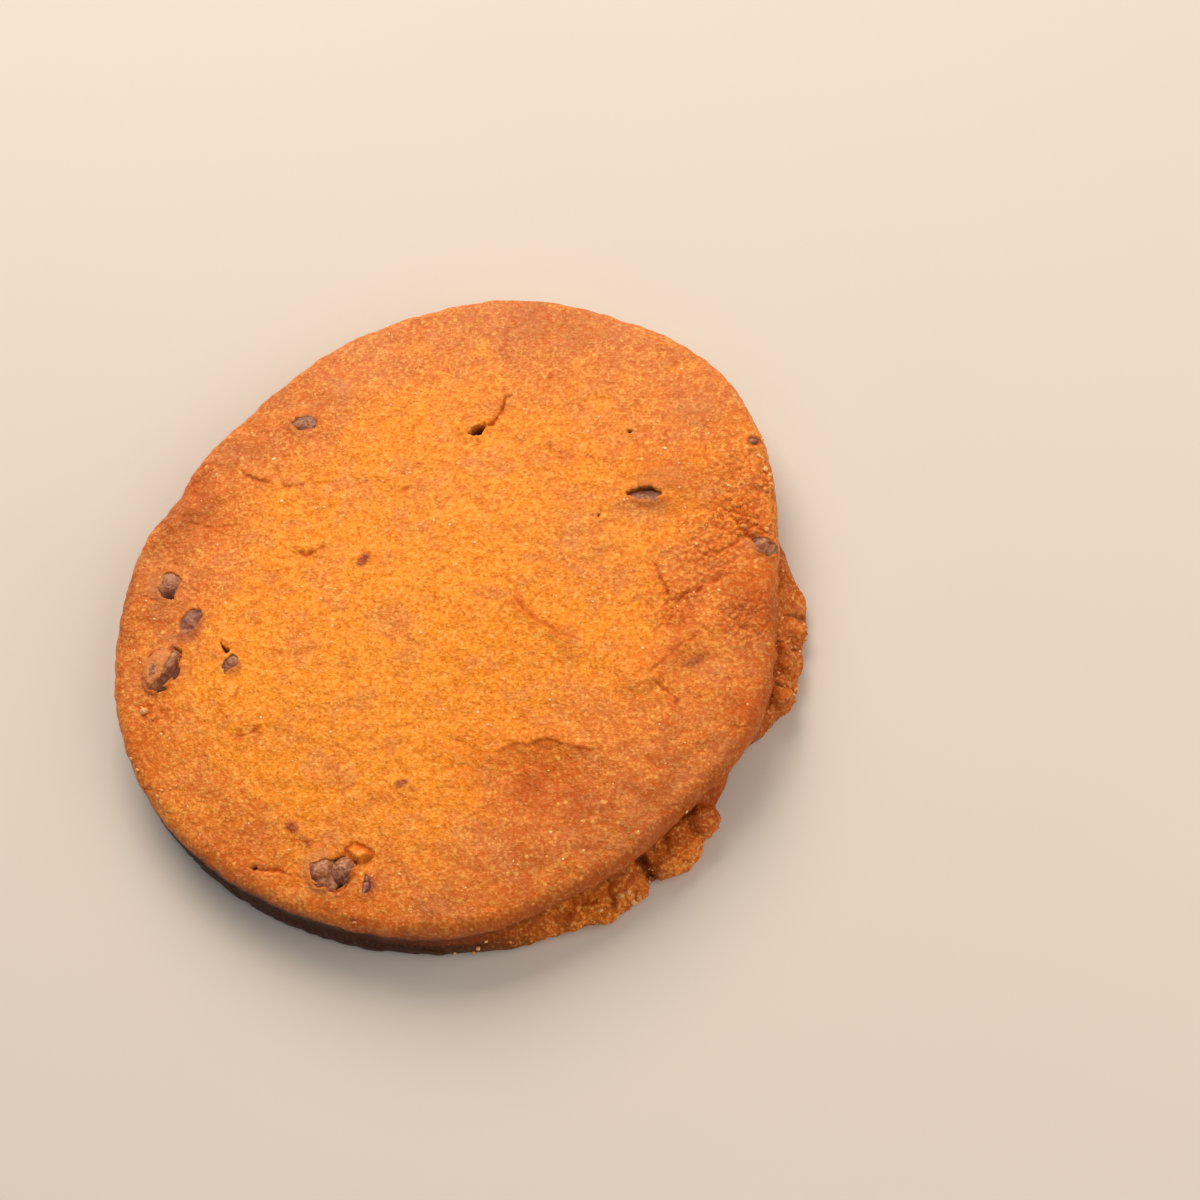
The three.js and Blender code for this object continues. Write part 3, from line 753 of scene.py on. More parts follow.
def halved(faces, middle):
    """Triangles cut at the middles of their sides. Side i runs from corner i to the next, and its
    middle is -1 where it isn't cut."""
    cuts = (middle >= 0).sum(1)
    first = np.where(cuts == 1, np.argmax(middle >= 0, 1), (np.argmax(middle < 0, 1) + 1) % 3)
    order = (np.arange(3) + first[:, None]) % 3
    (a, b, c), (ab, bc, ca) = np.take_along_axis(faces, order, 1).T, np.take_along_axis(middle, order, 1).T
    patterns = {
        0: [(a, b, c)],
        1: [(a, ab, c), (ab, b, c)],
        2: [(ab, b, bc), (a, ab, bc), (a, bc, c)],
        3: [(a, ab, ca), (ab, b, bc), (ca, bc, c), (ab, bc, ca)],
    }
    pieces = [np.stack(corners, 1)[cuts == count] for count, made in patterns.items() for corners in made]
    return np.concatenate(pieces)


def edge_wanted(points):
    """How long an edge may be where it lies."""
    x, y, z = points.T
    angle, r = np.degrees(np.arctan2(y, x)), np.hypot(x, y)
    on_top = smooth(RIM_HEIGHT - SHOULDER, RIM_HEIGHT, z)
    wanted = np.where(z > OVER_BASE, SIDE_EDGE + (TOP_EDGE - SIDE_EDGE) * on_top, BASE_EDGE)
    torn = tornness(angle) * (z > OVER_BASE) * (1 - smooth(*TORN_EDGES_FADE, z))
    wanted = np.where(torn > TORN_ENOUGH, TORN_EDGE, wanted)
    crumbled = (crumbliness(x, y) > CRUMBLED_ENOUGH) & (z > GROOVE_HEIGHT)
    wanted = np.where(crumbled, CRUMBLED_EDGE, wanted)
    lines = [p for _, _, p in CRACKS + STEPS] + [p + p[:1] for _, _, p in OPENINGS + KNOBS]
    for line in lines:
        near = beside(x, y, line, TOP_EDGE / EDGE_GROWTH)
        near = near[z[near] > GROOVE_HEIGHT]
        away = to_path(x[near], y[near], line)[0]
        allowed = LINE_EDGE + EDGE_GROWTH * np.maximum(away - LINE_REACH, 0)
        wanted[near] = np.minimum(wanted[near], allowed)
    for at, height, long, broad, _ in SIDE_CHIPS:
        away = np.hypot(np.radians(turn_between(angle, at)) * r / long, (z - height) / broad)
        close = (away < SOCKET_REACH) & (r > RIM_RADIUS / 2) & (z > OVER_BASE)
        wanted = np.where(close, np.minimum(wanted, TORN_EDGE), wanted)
    return wanted


def divided():
    """The crust's points and triangles, with every edge cut in half until it is short enough."""
    place, faces = stitched()
    for _ in range(MOST_CUTS):
        pairs = np.sort(np.stack([faces, np.roll(faces, -1, 1)], 2).reshape(-1, 2), 1)
        keys, which = np.unique(pairs[:, 0] * len(place) + pairs[:, 1], return_inverse=True)
        ends = np.stack(np.divmod(keys, len(place)), 1)
        points = form(place)
        a, b = points[ends[:, 0]], points[ends[:, 1]]
        cut = np.linalg.norm(a - b, axis=1) > edge_wanted((a + b) / 2)
        number = np.where(cut, len(place) + np.cumsum(cut) - 1, -1)
        place = np.concatenate([place, place[ends[cut]].mean(1)])
        faces = halved(faces, number[which].reshape(-1, 3))
    return place, faces


def normals(points, faces):
    """Which way the surface faces at each point."""
    a, b, c = points[faces].transpose(1, 0, 2)
    across = np.cross(b - a, c - a)
    total = np.zeros_like(points)
    for corner in faces.T:
        np.add.at(total, corner, across)
    return total / np.maximum(np.linalg.norm(total, axis=1, keepdims=True), 1e-12)


# ---- What baking did to the skin. Each adds to the height over the form, and to the marks ----


MARKS = (
    "browned", "golden", "ember_and_shade", "rosy_sheen", "edge", "crumbly",
    "crack", "deep", "stain", "film", "torn", "under",
)
EVERYWHERE = slice(None)
ARC = np.radians(1) * RIM_RADIUS  # a degree, measured along the rim


class Skin:
    """Points of the crust, how far each is raised, and marks that its material reads."""

    def __init__(self, points):
        self.points = points
        self.x, self.y, self.z = points.T
        self.angle = np.degrees(np.arctan2(self.y, self.x))
        self.share = np.hypot(self.x, self.y) / crest(self.angle)
        self.top = smooth(RIM_HEIGHT - SHOULDER, RIM_HEIGHT, self.z)
        self.side = (self.z > ON_BASE) * (1 - self.top)
        self.raised = np.zeros(len(points))
        self.flat_x = self.x + RAGGED * rough(points, RAGGED_ACROSS, 3)
        self.flat_y = self.y + RAGGED * rough(points + RAGGED_SHIFT, RAGGED_ACROSS, 3)
        self.marks = {name: np.zeros(len(points)) for name in MARKS}

    def mark(self, name, near, amount):
        """Strengthens a mark at some of the points."""
        self.marks[name][near] = np.maximum(self.marks[name][near], amount)

    def beside_spot(self, at, height, long, broad):
        """How far points lie from a spot on the side, in its half widths along and up the side."""
        return np.hypot(turn_between(self.angle, at) * ARC / long, (self.z - height) / broad)


def add_dough_texture(skin_):
    """Puffs, lumps and crumb of the dough, strongest where it is torn, with painted shade in the clefts
    of the crumbly top.
    """
    points = skin_.points
    torn = tornness(skin_.angle) * skin_.side * (1 - smooth(*TORN_FADES, skin_.z))
    puffed = smooth(0, PUFF_SEAM, puffs(points, PUFF_ACROSS)) - PUFF_LEVEL
    skin_.raised += PUFF_RISE * puffed * (1 - torn)
    skin_.raised += LUMP_RISE * rough(points, LUMP_ACROSS) + WAVE_RISE * rough(points, WAVE_ACROSS, 2)
    granules = smooth(0, GRANULE_SEAM, puffs(points, GRANULE_ACROSS)) - GRANULE_LEVEL
    (lumps, lumps_across), (crumb, crumb_across) = TORN_LUMPS, TORN_CRUMB
    lumpy = lumps * rough(points, lumps_across, 3) + TORN_GRANULES * granules
    skin_.raised += torn * (lumpy + crumb * rough(points, crumb_across, 2))
    skin_.mark("torn", EVERYWHERE, torn)
    crumbled = crumbliness(skin_.x, skin_.y) * skin_.top
    lumps, lumps_across = CRUMBLED_LUMPS
    skin_.raised += crumbled * (CRUMBLED_GRANULES * granules + lumps * rough(points, lumps_across, 3))
    skin_.mark("crumbly", EVERYWHERE, crumbled)
    skin_.mark("crack", EVERYWHERE, crumbled * smooth(*CRUMBLED_CLEFTS, granules))


def add_steps(skin_):
    """Raises the skin on the left of each step's path, over a narrow groove with painted shade in it."""
    groove, groove_wide = STEP_GROOVE
    for rise, fall, path in STEPS:
        near = beside(skin_.x, skin_.y, path, 3 * fall)
        away, side, along = to_path(skin_.flat_x[near], skin_.flat_y[near], rounded(path))
        fade = smooth(0, STEP_ENDS, along) * (1 - smooth(1 - STEP_ENDS, 1, along)) * skin_.top[near]
        upper = np.where(side > 0, np.exp(-away / fall) * smooth(0, STEP_SLOPE, away), 0)
        skin_.raised[near] += rise * fade * (upper - groove * bell(away / groove_wide))
        for name, (strength, wide) in STEP_MARKS.items():
            skin_.mark(name, near, strength * fade * bell(away / wide))


def add_cracks(skin_):
    """Opens each crack: a narrow cleft between soft shoulders and a low lip. The cleft gets painted shade,
    and the shoulders a deep orange painted shade.
    """
    (mean, sway, across), (ember_and_shade, ember_wide) = CRACK_UNEVEN, CRACK_EMBER
    for depth, width, path in CRACKS:
        near = beside(skin_.x, skin_.y, path, 3 * width)
        away, _, along = to_path(skin_.flat_x[near], skin_.flat_y[near], path)
        uneven = np.clip(mean + sway * rough(skin_.points[near], across, 2), CRACK_LEAST, 1)
        open_ = np.sqrt(np.clip(4 * along * (1 - along), 0, 1)) * skin_.top[near] * uneven
        wide = width * (CRACK_NARROW + CRACK_WIDENS * open_)
        shoulders, cleft = bell(away / (SHOULDERS_WIDE * wide)), bell(away / (CLEFT_WIDE * wide))
        slope = CRACK_SHOULDERS * shoulders + (1 - CRACK_SHOULDERS) * cleft
        skin_.raised[near] += depth * open_ * (CRACK_LIP * bell((away - 2 * wide) / wide) - slope)
        skin_.mark("crack", near, min(1, CRACK_DARKENS * depth) * open_ * cleft)
        skin_.mark("ember_and_shade", near, ember_and_shade * open_ * bell(away / (ember_wide * wide)))


def add_ledge(skin_):
    """Lumps of the torn ledge, painted shade in the groove over them, and its upright cracks, also with
    painted shade.
    """
    ragged = rough(skin_.points, LEDGE_RAGGED, 3)
    for at, height, long, broad, out in LEDGE_LUMPS:
        away = skin_.beside_spot(at, height, long, broad) + LUMP_RAGGED * ragged
        skin_.raised += out * skin_.side * smooth(*LUMP_SPAN, away)
    shade = tornness(skin_.angle) * skin_.side * smooth(*SHADE_STARTS, skin_.z + SHADE_RAGGED * ragged)
    skin_.mark("deep", EVERYWHERE, SHADE_DARK * shade * (1 - smooth(*SHADE_ENDS, skin_.z)))
    below, over = CRACK_FADES
    for at, foot, head, depth, wide in LEDGE_CRACKS:
        away = np.abs(turn_between(skin_.angle, at) * ARC + CRACK_RAGGED * ragged) / wide
        tall = smooth(foot - below, foot, skin_.z) * (1 - smooth(head, head + over, skin_.z)) * skin_.side
        skin_.raised -= depth * tall * bell(away)
        skin_.mark("deep", EVERYWHERE, LEDGE_CRACK_DARK * tall * bell(away))


def add_knobs(skin_):
    """Knobs of dough that stand on the skin, each in a shallow groove with painted shade in it."""
    (start, full), (groove, groove_out) = KNOB_SPAN, KNOB_GROOVE
    for rise, edge, points in KNOBS:
        near = beside(skin_.x, skin_.y, points, KNOB_REACH)
        near = near[skin_.top[near] > 0]
        away = to_outline(skin_.flat_x[near], skin_.flat_y[near], softened(np.array(points)))
        sunk = groove * bell((away - groove_out * edge) / edge)
        skin_.raised[near] += rise * (smooth(start * edge, full * edge, away) - sunk)
        for name, (strength, out, wide) in KNOB_MARKS.items():
            skin_.mark(name, near, strength * bell((away - out * edge) / (wide * edge)))


def add_chip_cover(skin_):
    """Lifts the skin over each sunk chip, so that it shows only where the skin is open."""
    for x, y, long, broad, over, turn, *_ in TOP_CHIPS:
        wide = hidden(over)
        near = beside(skin_.x, skin_.y, [(x, y)], long / wide)
        away = oval(skin_.x[near], skin_.y[near], x, y, long / wide, broad / wide, turn)
        chip_top = skin(x, y)[0] + over - CHIP_DEPTH + CHIP_DEPTH * np.sqrt(np.clip(1 - away**2, 0, 1))
        proud = chip_top + FILM_THICK - (skin_.z[near] + skin_.raised[near])
        lifted = np.where(away < 1, np.clip(proud, 0, over), 0)
        skin_.raised[near] += lifted * smooth(*COVER_FROM, skin_.top[near])


def add_openings(skin_):
    """Cuts the skin open over chips and at the split, with painted shade inside that is darker where the cut
    is deeper.
    """
    (ragged, across), (lip, lip_out, lip_wide), (wall_top, wall_foot) = OPENING_RAGGED, LIP, WALL_SPAN
    for depth, wall, points in OPENINGS:
        near = beside(skin_.x, skin_.y, points, OPENING_REACH)
        near = near[skin_.top[near] > 0]
        away = to_outline(skin_.x[near], skin_.y[near], softened(np.array(points)))
        away = away + ragged * rough(skin_.points[near], across, 3)
        cut = depth * smooth(wall_top * wall, wall_foot * wall, away)
        skin_.raised[near] += lip * bell((away - lip_out) / lip_wide) - cut
        dark = min(1, DARK_LEAST + DARK_BY_DEPTH * depth)
        skin_.mark("deep", near, dark * smooth(WALL_DARK * wall, -WALL_DARK * wall, away))


def add_side_sockets(skin_):
    """Opens the side where chips stand out of it, with painted shade inside each socket."""
    (wobble, often), (lip, lip_out, lip_wide) = SOCKET_WOBBLE, SOCKET_LIP
    for at, height, long, broad, _ in SIDE_CHIPS:
        away = skin_.beside_spot(at, height, long, broad) + wobble * np.sin(often * skin_.angle)
        raised = lip * bell((away - lip_out) / lip_wide) - SOCKET_DEPTH * smooth(*SOCKET_SPAN, away)
        skin_.raised += skin_.side * raised
        skin_.mark("deep", EVERYWHERE, SOCKET_DARK * skin_.side * smooth(*SOCKET_DARK_SPAN, away))


def add_colour_marks(skin_):
    """Browning, with painted shade down the front of the side; tints, among them painted shade in hollows
    and a painted sheen near the far rim; stains and films; where the base lies; and the rim's painted shade.
    """
    uneven, across = UNEVEN_BROWN
    rim = smooth(*RIM_SPAN, skin_.share)
    browned = MIDDLE_BROWN + RIM_BROWN * rim + uneven * rough(skin_.points, across, 2)
    for x, y, radius, amount in BROWNED:
        browned += amount * spot(skin_.x, skin_.y, x, y, radius)
    low = 1 - smooth(*FOOT_SPAN, skin_.z)
    on_side = SIDE_BROWN + FOOT_BROWN * low + lobes(DARK_SIDE, skin_.angle)
    skin_.marks["browned"] = np.clip(browned * skin_.top, 0, 1) + skin_.side * on_side
    for name, table in TINTS.items():
        for x, y, radius, amount in table:
            skin_.mark(name, EVERYWHERE, amount * skin_.top * spot(skin_.x, skin_.y, x, y, radius))
    for name, table in (("stain", STAINS), ("film", FILMS)):
        for x, y, long, broad, turn, amount in table:
            away = oval(skin_.x, skin_.y, x, y, long, broad, turn)
            skin_.mark(name, EVERYWHERE, amount * skin_.top * smooth(*STAIN_SPAN, away))
    skin_.marks["under"] = 1.0 * (skin_.z <= ON_BASE)
    uneven, across = RIM_BAND_RAGGED
    band = smooth(*RIM_BAND, skin_.share + uneven * rough(skin_.points, across, 2))
    band = band * (skin_.z > CREST_HEIGHTS[0])
    skin_.marks["edge"] = np.clip(lobes(DARK_RIM, skin_.angle), 0, 1) * band


def add_base_pores(skin_):
    """Shallow pores where the dough baked on its tray. They only reach up, so the base stays flat."""
    base = skin_.z <= ON_BASE
    pores = np.clip(rough(skin_.points[base], PORE_ACROSS, 3) - PORE_LEVEL, 0, 1)
    skin_.raised[base] = -PORE_DEPTH * pores


def hidden(over):
    """Share of a chip's breadth that shows, when it stands that far over the skin."""
    return math.sqrt(1 - (1 - over / CHIP_DEPTH) ** 2)


def crust_mesh():
    """The crust's points in millimetres, its triangles and its marks."""
    place, faces = divided()
    points = form(place)
    skin_ = Skin(points)
    add_dough_texture(skin_)
    add_steps(skin_)
    add_chip_cover(skin_)
    add_cracks(skin_)
    add_knobs(skin_)
    add_openings(skin_)
    add_ledge(skin_)
    add_side_sockets(skin_)
    add_colour_marks(skin_)
    add_base_pores(skin_)
    moved = points + skin_.raised[:, None] * normals(points, faces)
    moved[:, 2] = np.maximum(moved[:, 2], 0)
    return moved, faces, skin_.marks


def in_frame(points):
    """Points in millimetres from the disc's axis, as metres in the row's frame."""
    return (np.asarray(points, float) - (*BOX_MIDDLE, 0)) * MM


def new_piece(name, points, faces, material, marks=None):
    """A smooth mesh object in the frame, riding on the biscuit and standing for its solid."""
    mesh = bpy.data.meshes.new(name)
    mesh.from_pydata(in_frame(points).tolist(), [], faces.tolist())
    for key, values in (marks or {}).items():
        mesh.attributes.new(key, "FLOAT", "POINT").data.foreach_set("value", values.astype(np.float32))
    mesh.shade_smooth()
    mesh.materials.append(material)
    piece = bpy.data.objects.new(name, mesh)
    bpy.context.scene.collection.objects.link(piece)
    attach(piece, BODY)
    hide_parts(SOLID)
    return piece


# ---- Chips, crumbs and sugar grains ----


def ball(level):
    """Points and triangles of an even ball of radius 1."""
    shape = bmesh.new()
    bmesh.ops.create_icosphere(shape, subdivisions=level, radius=1)
    points = np.array([v.co for v in shape.verts])
    faces = np.array([[v.index for v in f.verts] for f in shape.faces])
    shape.free()
    return points, faces


def joined(parts, faces):
    """Lumps with the same triangles as one mesh."""
    shifted = [faces + number * len(parts[0]) for number in range(len(parts))]
    return np.concatenate(parts), np.concatenate(shifted)


def turned(points, degrees):
    """Points turned round +Z."""
    return points @ np.array(Matrix.Rotation(math.radians(degrees), 3, "Z")).T


def chip_shape(points, long, broad, high, number):
    """A chip that has softened and set again: a lump with a few flats, folds and fine pits. With it,
    how deep in a fold each point lies."""
    shape = points * (long, broad, high)
    where = shape + (0, 0, LUMPS_APART * number)
    fold = smooth(FOLD_WIDTH, 0, puffs(where, FOLD_ACROSS))
    (flats, flats_across), (pits, pits_across) = CHIP_FLATS, CHIP_PITS
    rise = flats * rough(where, flats_across, 2) - FOLD_DEPTH * fold + pits * rough(where, pits_across, 2)
    return shape + rise[:, None] * points, fold


def all_chips():
    """Every chip as one mesh, with how brown and bloomed each point is, and how dark: bare chocolate,
    and painted shade in folds and on a chip's shaded side.
    """
    even, faces = ball(5)
    parts, marks = [], {"brown": [], "bloom": [], "dark": []}
    for number, (x, y, long, broad, over, turn, brown, bloom, dark, towards) in enumerate(TOP_CHIPS):
        wide = hidden(over)
        shape, fold = chip_shape(even, long / wide, broad / wide, CHIP_DEPTH, number)
        shape = turned(shape, turn)
        parts.append(shape + (x, y, skin(x, y)[0] + over - CHIP_DEPTH))
        way, off = math.radians(towards), math.radians(towards - turn)
        reach = math.hypot(long * math.cos(off), broad * math.sin(off))
        ragged, across = DARK_RAGGED
        end = (shape[:, 0] * math.cos(way) + shape[:, 1] * math.sin(way)) / reach
        end = end + ragged * rough(shape, across, 2)
        marks["brown"].append(np.full(len(even), brown))
        marks["bloom"].append(np.full(len(even), bloom))
        marks["dark"].append(np.maximum(dark * smooth(*DARK_SPAN, end), FOLD_DARK * fold))
    for number, (at, height, long, broad, over) in enumerate(SIDE_CHIPS, len(TOP_CHIPS)):
        wide = hidden(over)
        shape, fold = chip_shape(even, CHIP_DEPTH, long / wide, broad / wide, number)
        middle = outline(at) - GROOVE_DEPTH + over - CHIP_DEPTH
        parts.append(turned(shape + (middle, 0, height), at))
        for name, amount in SIDE_CHIP_LOOK.items():
            marks[name].append(np.full(len(even), amount))
        marks["dark"].append(FOLD_DARK * fold)
    return *joined(parts, faces), {name: np.concatenate(values) for name, values in marks.items()}


def crust_surface():
    """The baked crust, to cast rays at, in millimetres from the disc's axis."""
    mesh = bpy.data.objects["crust"].data
    points = np.empty(3 * len(mesh.vertices))
    mesh.vertices.foreach_get("co", points)
    points = points.reshape(-1, 3) / MM + (*BOX_MIDDLE, 0)
    return BVHTree.FromPolygons(points.tolist(), [face.vertices[:] for face in mesh.polygons])


def set_down(surface, even, size, sunk, start, way, spin):
    """A lump of that size, turned at random, where a ray meets the crust, sunk by a share of its size."""
    place, facing, _, _ = surface.ray_cast(Vector(start), Vector(way))
    if place is None:
        return None
    turn = Matrix.Rotation(spin[0], 3, "X") @ Matrix.Rotation(spin[1], 3, "Z")
    middle = place + facing * size * (1 - 2 * sunk)
    return even * size @ np.array(turn).T + np.array(middle)


def from_above(x, y):
    """Where a ray down at a place on the top starts, and its way."""
    return (x, y, 3 * RIM_HEIGHT), (0, 0, -1)


def from_outside(angle, height):
    """Where a ray from outside at the side starts, and its way."""
    c, s = math.cos(math.radians(angle)), math.sin(math.radians(angle))
    return (1.5 * RIM_RADIUS * c, 1.5 * RIM_RADIUS * s, height), (-c, -s, 0)


def all_crumbs(seed, count):
    """Crumbs that broke off: the noted ones, and more along the torn ledge and the rim over it."""
    chance = np.random.default_rng(seed)
    surface = crust_surface()
    even, faces = ball(3)
    wanted = [(size, NOTED_CRUMB_SUNK, *from_above(x, y), pale) for x, y, size, pale in CRUMBS]
    for _ in range(count):
        at, width, _ = TORN[chance.integers(len(TORN))]
        at = at + CRUMB_SPREAD * width * chance.standard_normal()
        ray = from_outside(at, chance.uniform(*CRUMB_HEIGHTS))
        size, sunk = chance.uniform(*CRUMB_SIZES), chance.uniform(*CRUMB_SUNK)
        wanted.append((size, sunk, *ray, chance.uniform(*CRUMB_PALE)))
    least, sway, across = CRUMB_UNEVEN
    parts, pales = [], []
    for number, (size, sunk, start, way, pale) in enumerate(wanted):
        uneven = least + sway * rough(even + (0, 0, CRUMBS_APART * number), across, 3)
        lump = even * uneven[:, None] * CRUMB_SHAPE
        part = set_down(surface, lump, size, sunk, start, way, chance.uniform(0, MOST_SPIN, 2))
        if part is not None:
            parts.append(part)
            pales.append(np.full(len(even), pale))
    return *joined(parts, faces), {"pale": np.concatenate(pales)}


def all_sugar(seed, count):
    """Sugar grains in the top: the noted ones, and more at random."""
    chance = np.random.default_rng(seed)
    surface = crust_surface()
    even, faces = ball(1)
    wanted = [(size, *from_above(x, y)) for x, y, size in SUGAR]
    for _ in range(count):
        angle, far = chance.uniform(-180, 180), math.sqrt(chance.uniform(0, GRAINS_OUT_TO))
        r = far * outline(angle)
        x, y = r * math.cos(math.radians(angle)), r * math.sin(math.radians(angle))
        wanted.append((chance.uniform(*GRAIN_SIZES), *from_above(x, y)))
    parts = []
    for size, start, way in wanted:
        crystal = even * chance.uniform(*GRAIN_SHAPE, 3)
        part = set_down(surface, crystal, size, GRAIN_SUNK, start, way, chance.uniform(0, MOST_SPIN, 2))
        if part is not None:
            parts.append(part)
    return joined(parts, faces)


# ---- Materials ----

MIX_A, MIX_B, MIX_OUT = 6, 7, 2  # colour sockets of a Mix node


def add(tree, kind, settings=None, inputs=None):
    """Adds one shader node. An input takes a value, or an output of another node to link."""
    node = tree.nodes.new("ShaderNode" + kind)
    for name, value in (settings or {}).items():
        setattr(node, name, value)
    for name, value in (inputs or {}).items():
        if isinstance(value, bpy.types.NodeSocket):
            tree.links.new(value, node.inputs[name])
        else:
            node.inputs[name].default_value = value
    return node


def blank(name):
    """A new material, its tree and its place in millimetres."""
    material = bpy.data.materials.new(name)
    material.use_nodes = True
    tree = material.node_tree
    tree.nodes.clear()
    metres = add(tree, "TexCoord").outputs["Object"]
    place = add(tree, "VectorMath", {"operation": "SCALE"}, {0: metres, "Scale": 1 / MM}).outputs[0]
    return material, tree, place


def product(tree, parts):
    """An amount from parts multiplied together. A part is a number, an output, or an output and the
    range that is stretched to 0 and 1, or to two given ends."""
    total = 1.0
    for part in parts:
        if isinstance(part, tuple):
            socket, low, high, *ends = part
            least, most = ends or (0.0, 1.0)
            inputs = {0: socket, 1: low, 2: high, 3: least, 4: most}
            part = add(tree, "MapRange", {"interpolation_type": "SMOOTHSTEP"}, inputs).outputs[0]
        total = add(tree, "Math", {"operation": "MULTIPLY"}, {0: total, 1: part}).outputs[0]
    return total


def layered(tree, base, layers):
    """A colour with others laid over it in turn, each by its own amount."""
    base = (*base, 1)
    for colour, *parts in layers:
        settings = {"data_type": "RGBA", "clamp_factor": True}
        inputs = {0: product(tree, parts), MIX_A: base, MIX_B: (*colour, 1)}
        base = add(tree, "Mix", settings, inputs).outputs[MIX_OUT]
    return base


def baked_dough(settings):
    """Short sugar dough baked to a thin skin: matt, a little greasy, golden in the middle, orange brown
    at the rim and dark brown down the side, with pale grain and chocolate stains. Painted shade
    darkens seams, cracks, hollows, openings, the groove and the front of the side, and a mauve
    painted sheen and pale painted highlights lie near the far rim and on raised grain."""
    material, tree, place = blank("baked_sugar_dough")
    mark = {name: add(tree, "Attribute", {"attribute_name": name}).outputs["Fac"] for name in MARKS}
    field = {}
    for name, (across, detail, bent) in DOUGH_NOISES.items():
        inputs = {"Vector": place, "Scale": 1 / across, "Detail": detail}
        field[name] = add(tree, "TexNoise", {}, inputs | {"Roughness": 0.6, "Distortion": bent})
    sway = {0: field["crumb"].outputs["Color"], 1: (GRAIN_SWAY,) * 3, 2: place}
    swayed = add(tree, "VectorMath", {"operation": "MULTIPLY_ADD"}, sway).outputs[0]
    cells = {}
    for name, (across, feature) in DOUGH_CELLS.items():
        cells[name] = add(tree, "TexVoronoi", {"feature": feature}, {"Vector": swayed, "Scale": 1 / across})
    grain, sugar, puff = (cells[name].outputs["Distance"] for name in ("grain", "sugar", "puff"))
    kind, sugary = (cells[name].outputs["Color"] for name in ("grain", "sugar"))
    fine, crumb, mottle, patch, blush, part = (field[name].outputs["Fac"] for name in DOUGH_NOISES)

    uneven = product(tree, [(patch, 0.35, 0.7, -0.1, 0.16)])
    toast = add(tree, "Math", {"operation": "ADD"}, {0: mark["browned"], 1: uneven}).outputs[0]
    # Seams between puffs: sunk in the bump, and darkened in the colour as painted shade.
    seam = product(tree, [(puff, 0.1, 0.0), (part, 0.5, 0.66)])
    layers = [
        (settings.amber, (toast, 0.0, 0.55)),
        (settings.brown, (toast, 0.5, 1.0)),
        # Darkest brown at the foot, and painted shade down the front of the side.
        (settings.burnt_and_shade, (toast, 0.95, 1.25)),
        (settings.golden, mark["golden"]),
        # Painted sheen near the far rim.
        (settings.rosy_sheen, mark["rosy_sheen"], 0.8),
        # Deep orange painted shade in hollows, cracks and grooves.
        (settings.ember_and_shade, mark["ember_and_shade"], 0.7),
        # Painted shade on the rim's front and right.
        (settings.crack, mark["edge"], 0.8),
        (settings.torn, mark["torn"], (crumb, 0.3, 0.65, 0.4, 0.95)),
        (settings.crack, mark["torn"], (mottle, 0.5, 0.36), 0.5),
        (settings.amber, (mottle, 0.48, 0.68), (toast, 1.0, 0.8), 0.35),
        (settings.golden, (mottle, 0.5, 0.3), (toast, 0.6, 0.2), 0.4),
        (settings.ember_and_shade, (mottle, 0.48, 0.3), (toast, 0.3, 0.6), (toast, 1.0, 0.8), 0.5),
        (settings.rosy_sheen, (blush, 0.48, 0.7), (toast, 1.0, 0.8), 0.5),
        (settings.golden, (blush, 0.46, 0.3), (toast, 0.8, 0.3), 0.6),
        # Deep orange painted shade in the low granules of the bump, and in the crumbly top's.
        (settings.ember_and_shade, (crumb, 0.5, 0.34), (toast, 1.1, 0.8), 0.42),
        (settings.ember_and_shade, mark["crumbly"], (crumb, 0.55, 0.4), 0.7),
        (settings.seam, (kind, 0.5, 0.25), (grain, 0.8, 0.2), (toast, 1.1, 0.8), 0.4),
        (settings.pale, (kind, 0.5, 0.75), (grain, 0.7, 0.1), (toast, 1.15, 0.6, 0.02, 0.5)),
        # Painted highlight and sheen on the raised granules of the bump.
        (settings.pale, (crumb, 0.5, 0.68), (toast, 1.05, 0.5, 0.04, 0.45)),
        (settings.rosy_sheen, (crumb, 0.48, 0.66), (toast, 0.5, 0.8), (toast, 1.15, 0.95), 0.5),
        # The hollows' and the rim's painted shade again, over the grain.
        (settings.ember_and_shade, mark["ember_and_shade"], 0.6),
        (settings.crack, mark["edge"], 0.55),
        (settings.pale, (sugary, 0.7, 0.78), (sugar, 0.3, 0.12), (toast, 1.3, 0.6, 0, 0.7)),
        (settings.pale, mark["torn"], (crumb, 0.54, 0.66), 0.5),
        # Dark pinholes, painted as shade in tiny holes.
        (settings.crack, (sugary, 0.34, 0.26), (sugar, 0.2, 0.1), 0.5),
        # Painted shade in the seams between puffs.
        (settings.seam, seam, (toast, 1.1, 0.8), 0.35),
        (settings.film, mark["film"], 0.8),
        (settings.stain, mark["stain"], (fine, 0.3, 0.7, 1.0, 0.6)),
        (settings.brown, mark["under"]),
        # Painted shade in cracks, clefts and grooves, and inside openings, sockets and the groove over the
        # ledge.
        (settings.crack, mark["crack"], 0.9),
        (settings.dark, mark["deep"], 0.92),
    ]
    colour = layered(tree, settings.middle, layers)

    rises = [product(tree, [(grain, 0.7, 0.0), (kind, 0.3, 0.7), 0.35]), product(tree, [crumb, 2.6]), fine]
    height = product(tree, [seam, -0.5])
    for rise in rises:
        height = add(tree, "Math", {"operation": "ADD"}, {0: height, 1: rise}).outputs[0]
    bumpy = add(tree, "Bump", {}, {"Height": height, "Distance": GRAIN_RISE * MM, "Strength": 1.0}).outputs[0]
    inputs = {
        "Base Color": colour,
        "Roughness": product(tree, [(fine, 0.3, 0.7, 0.42, 0.62)]),
        "IOR": 1.46,
        "Specular IOR Level": 0.25,  # flour in the skin breaks up the shine
        "Normal": bumpy,
    }
    shader = add(tree, "BsdfPrincipled", {}, inputs).outputs[0]
    add(tree, "OutputMaterial", {}, {"Surface": shader})
    return material


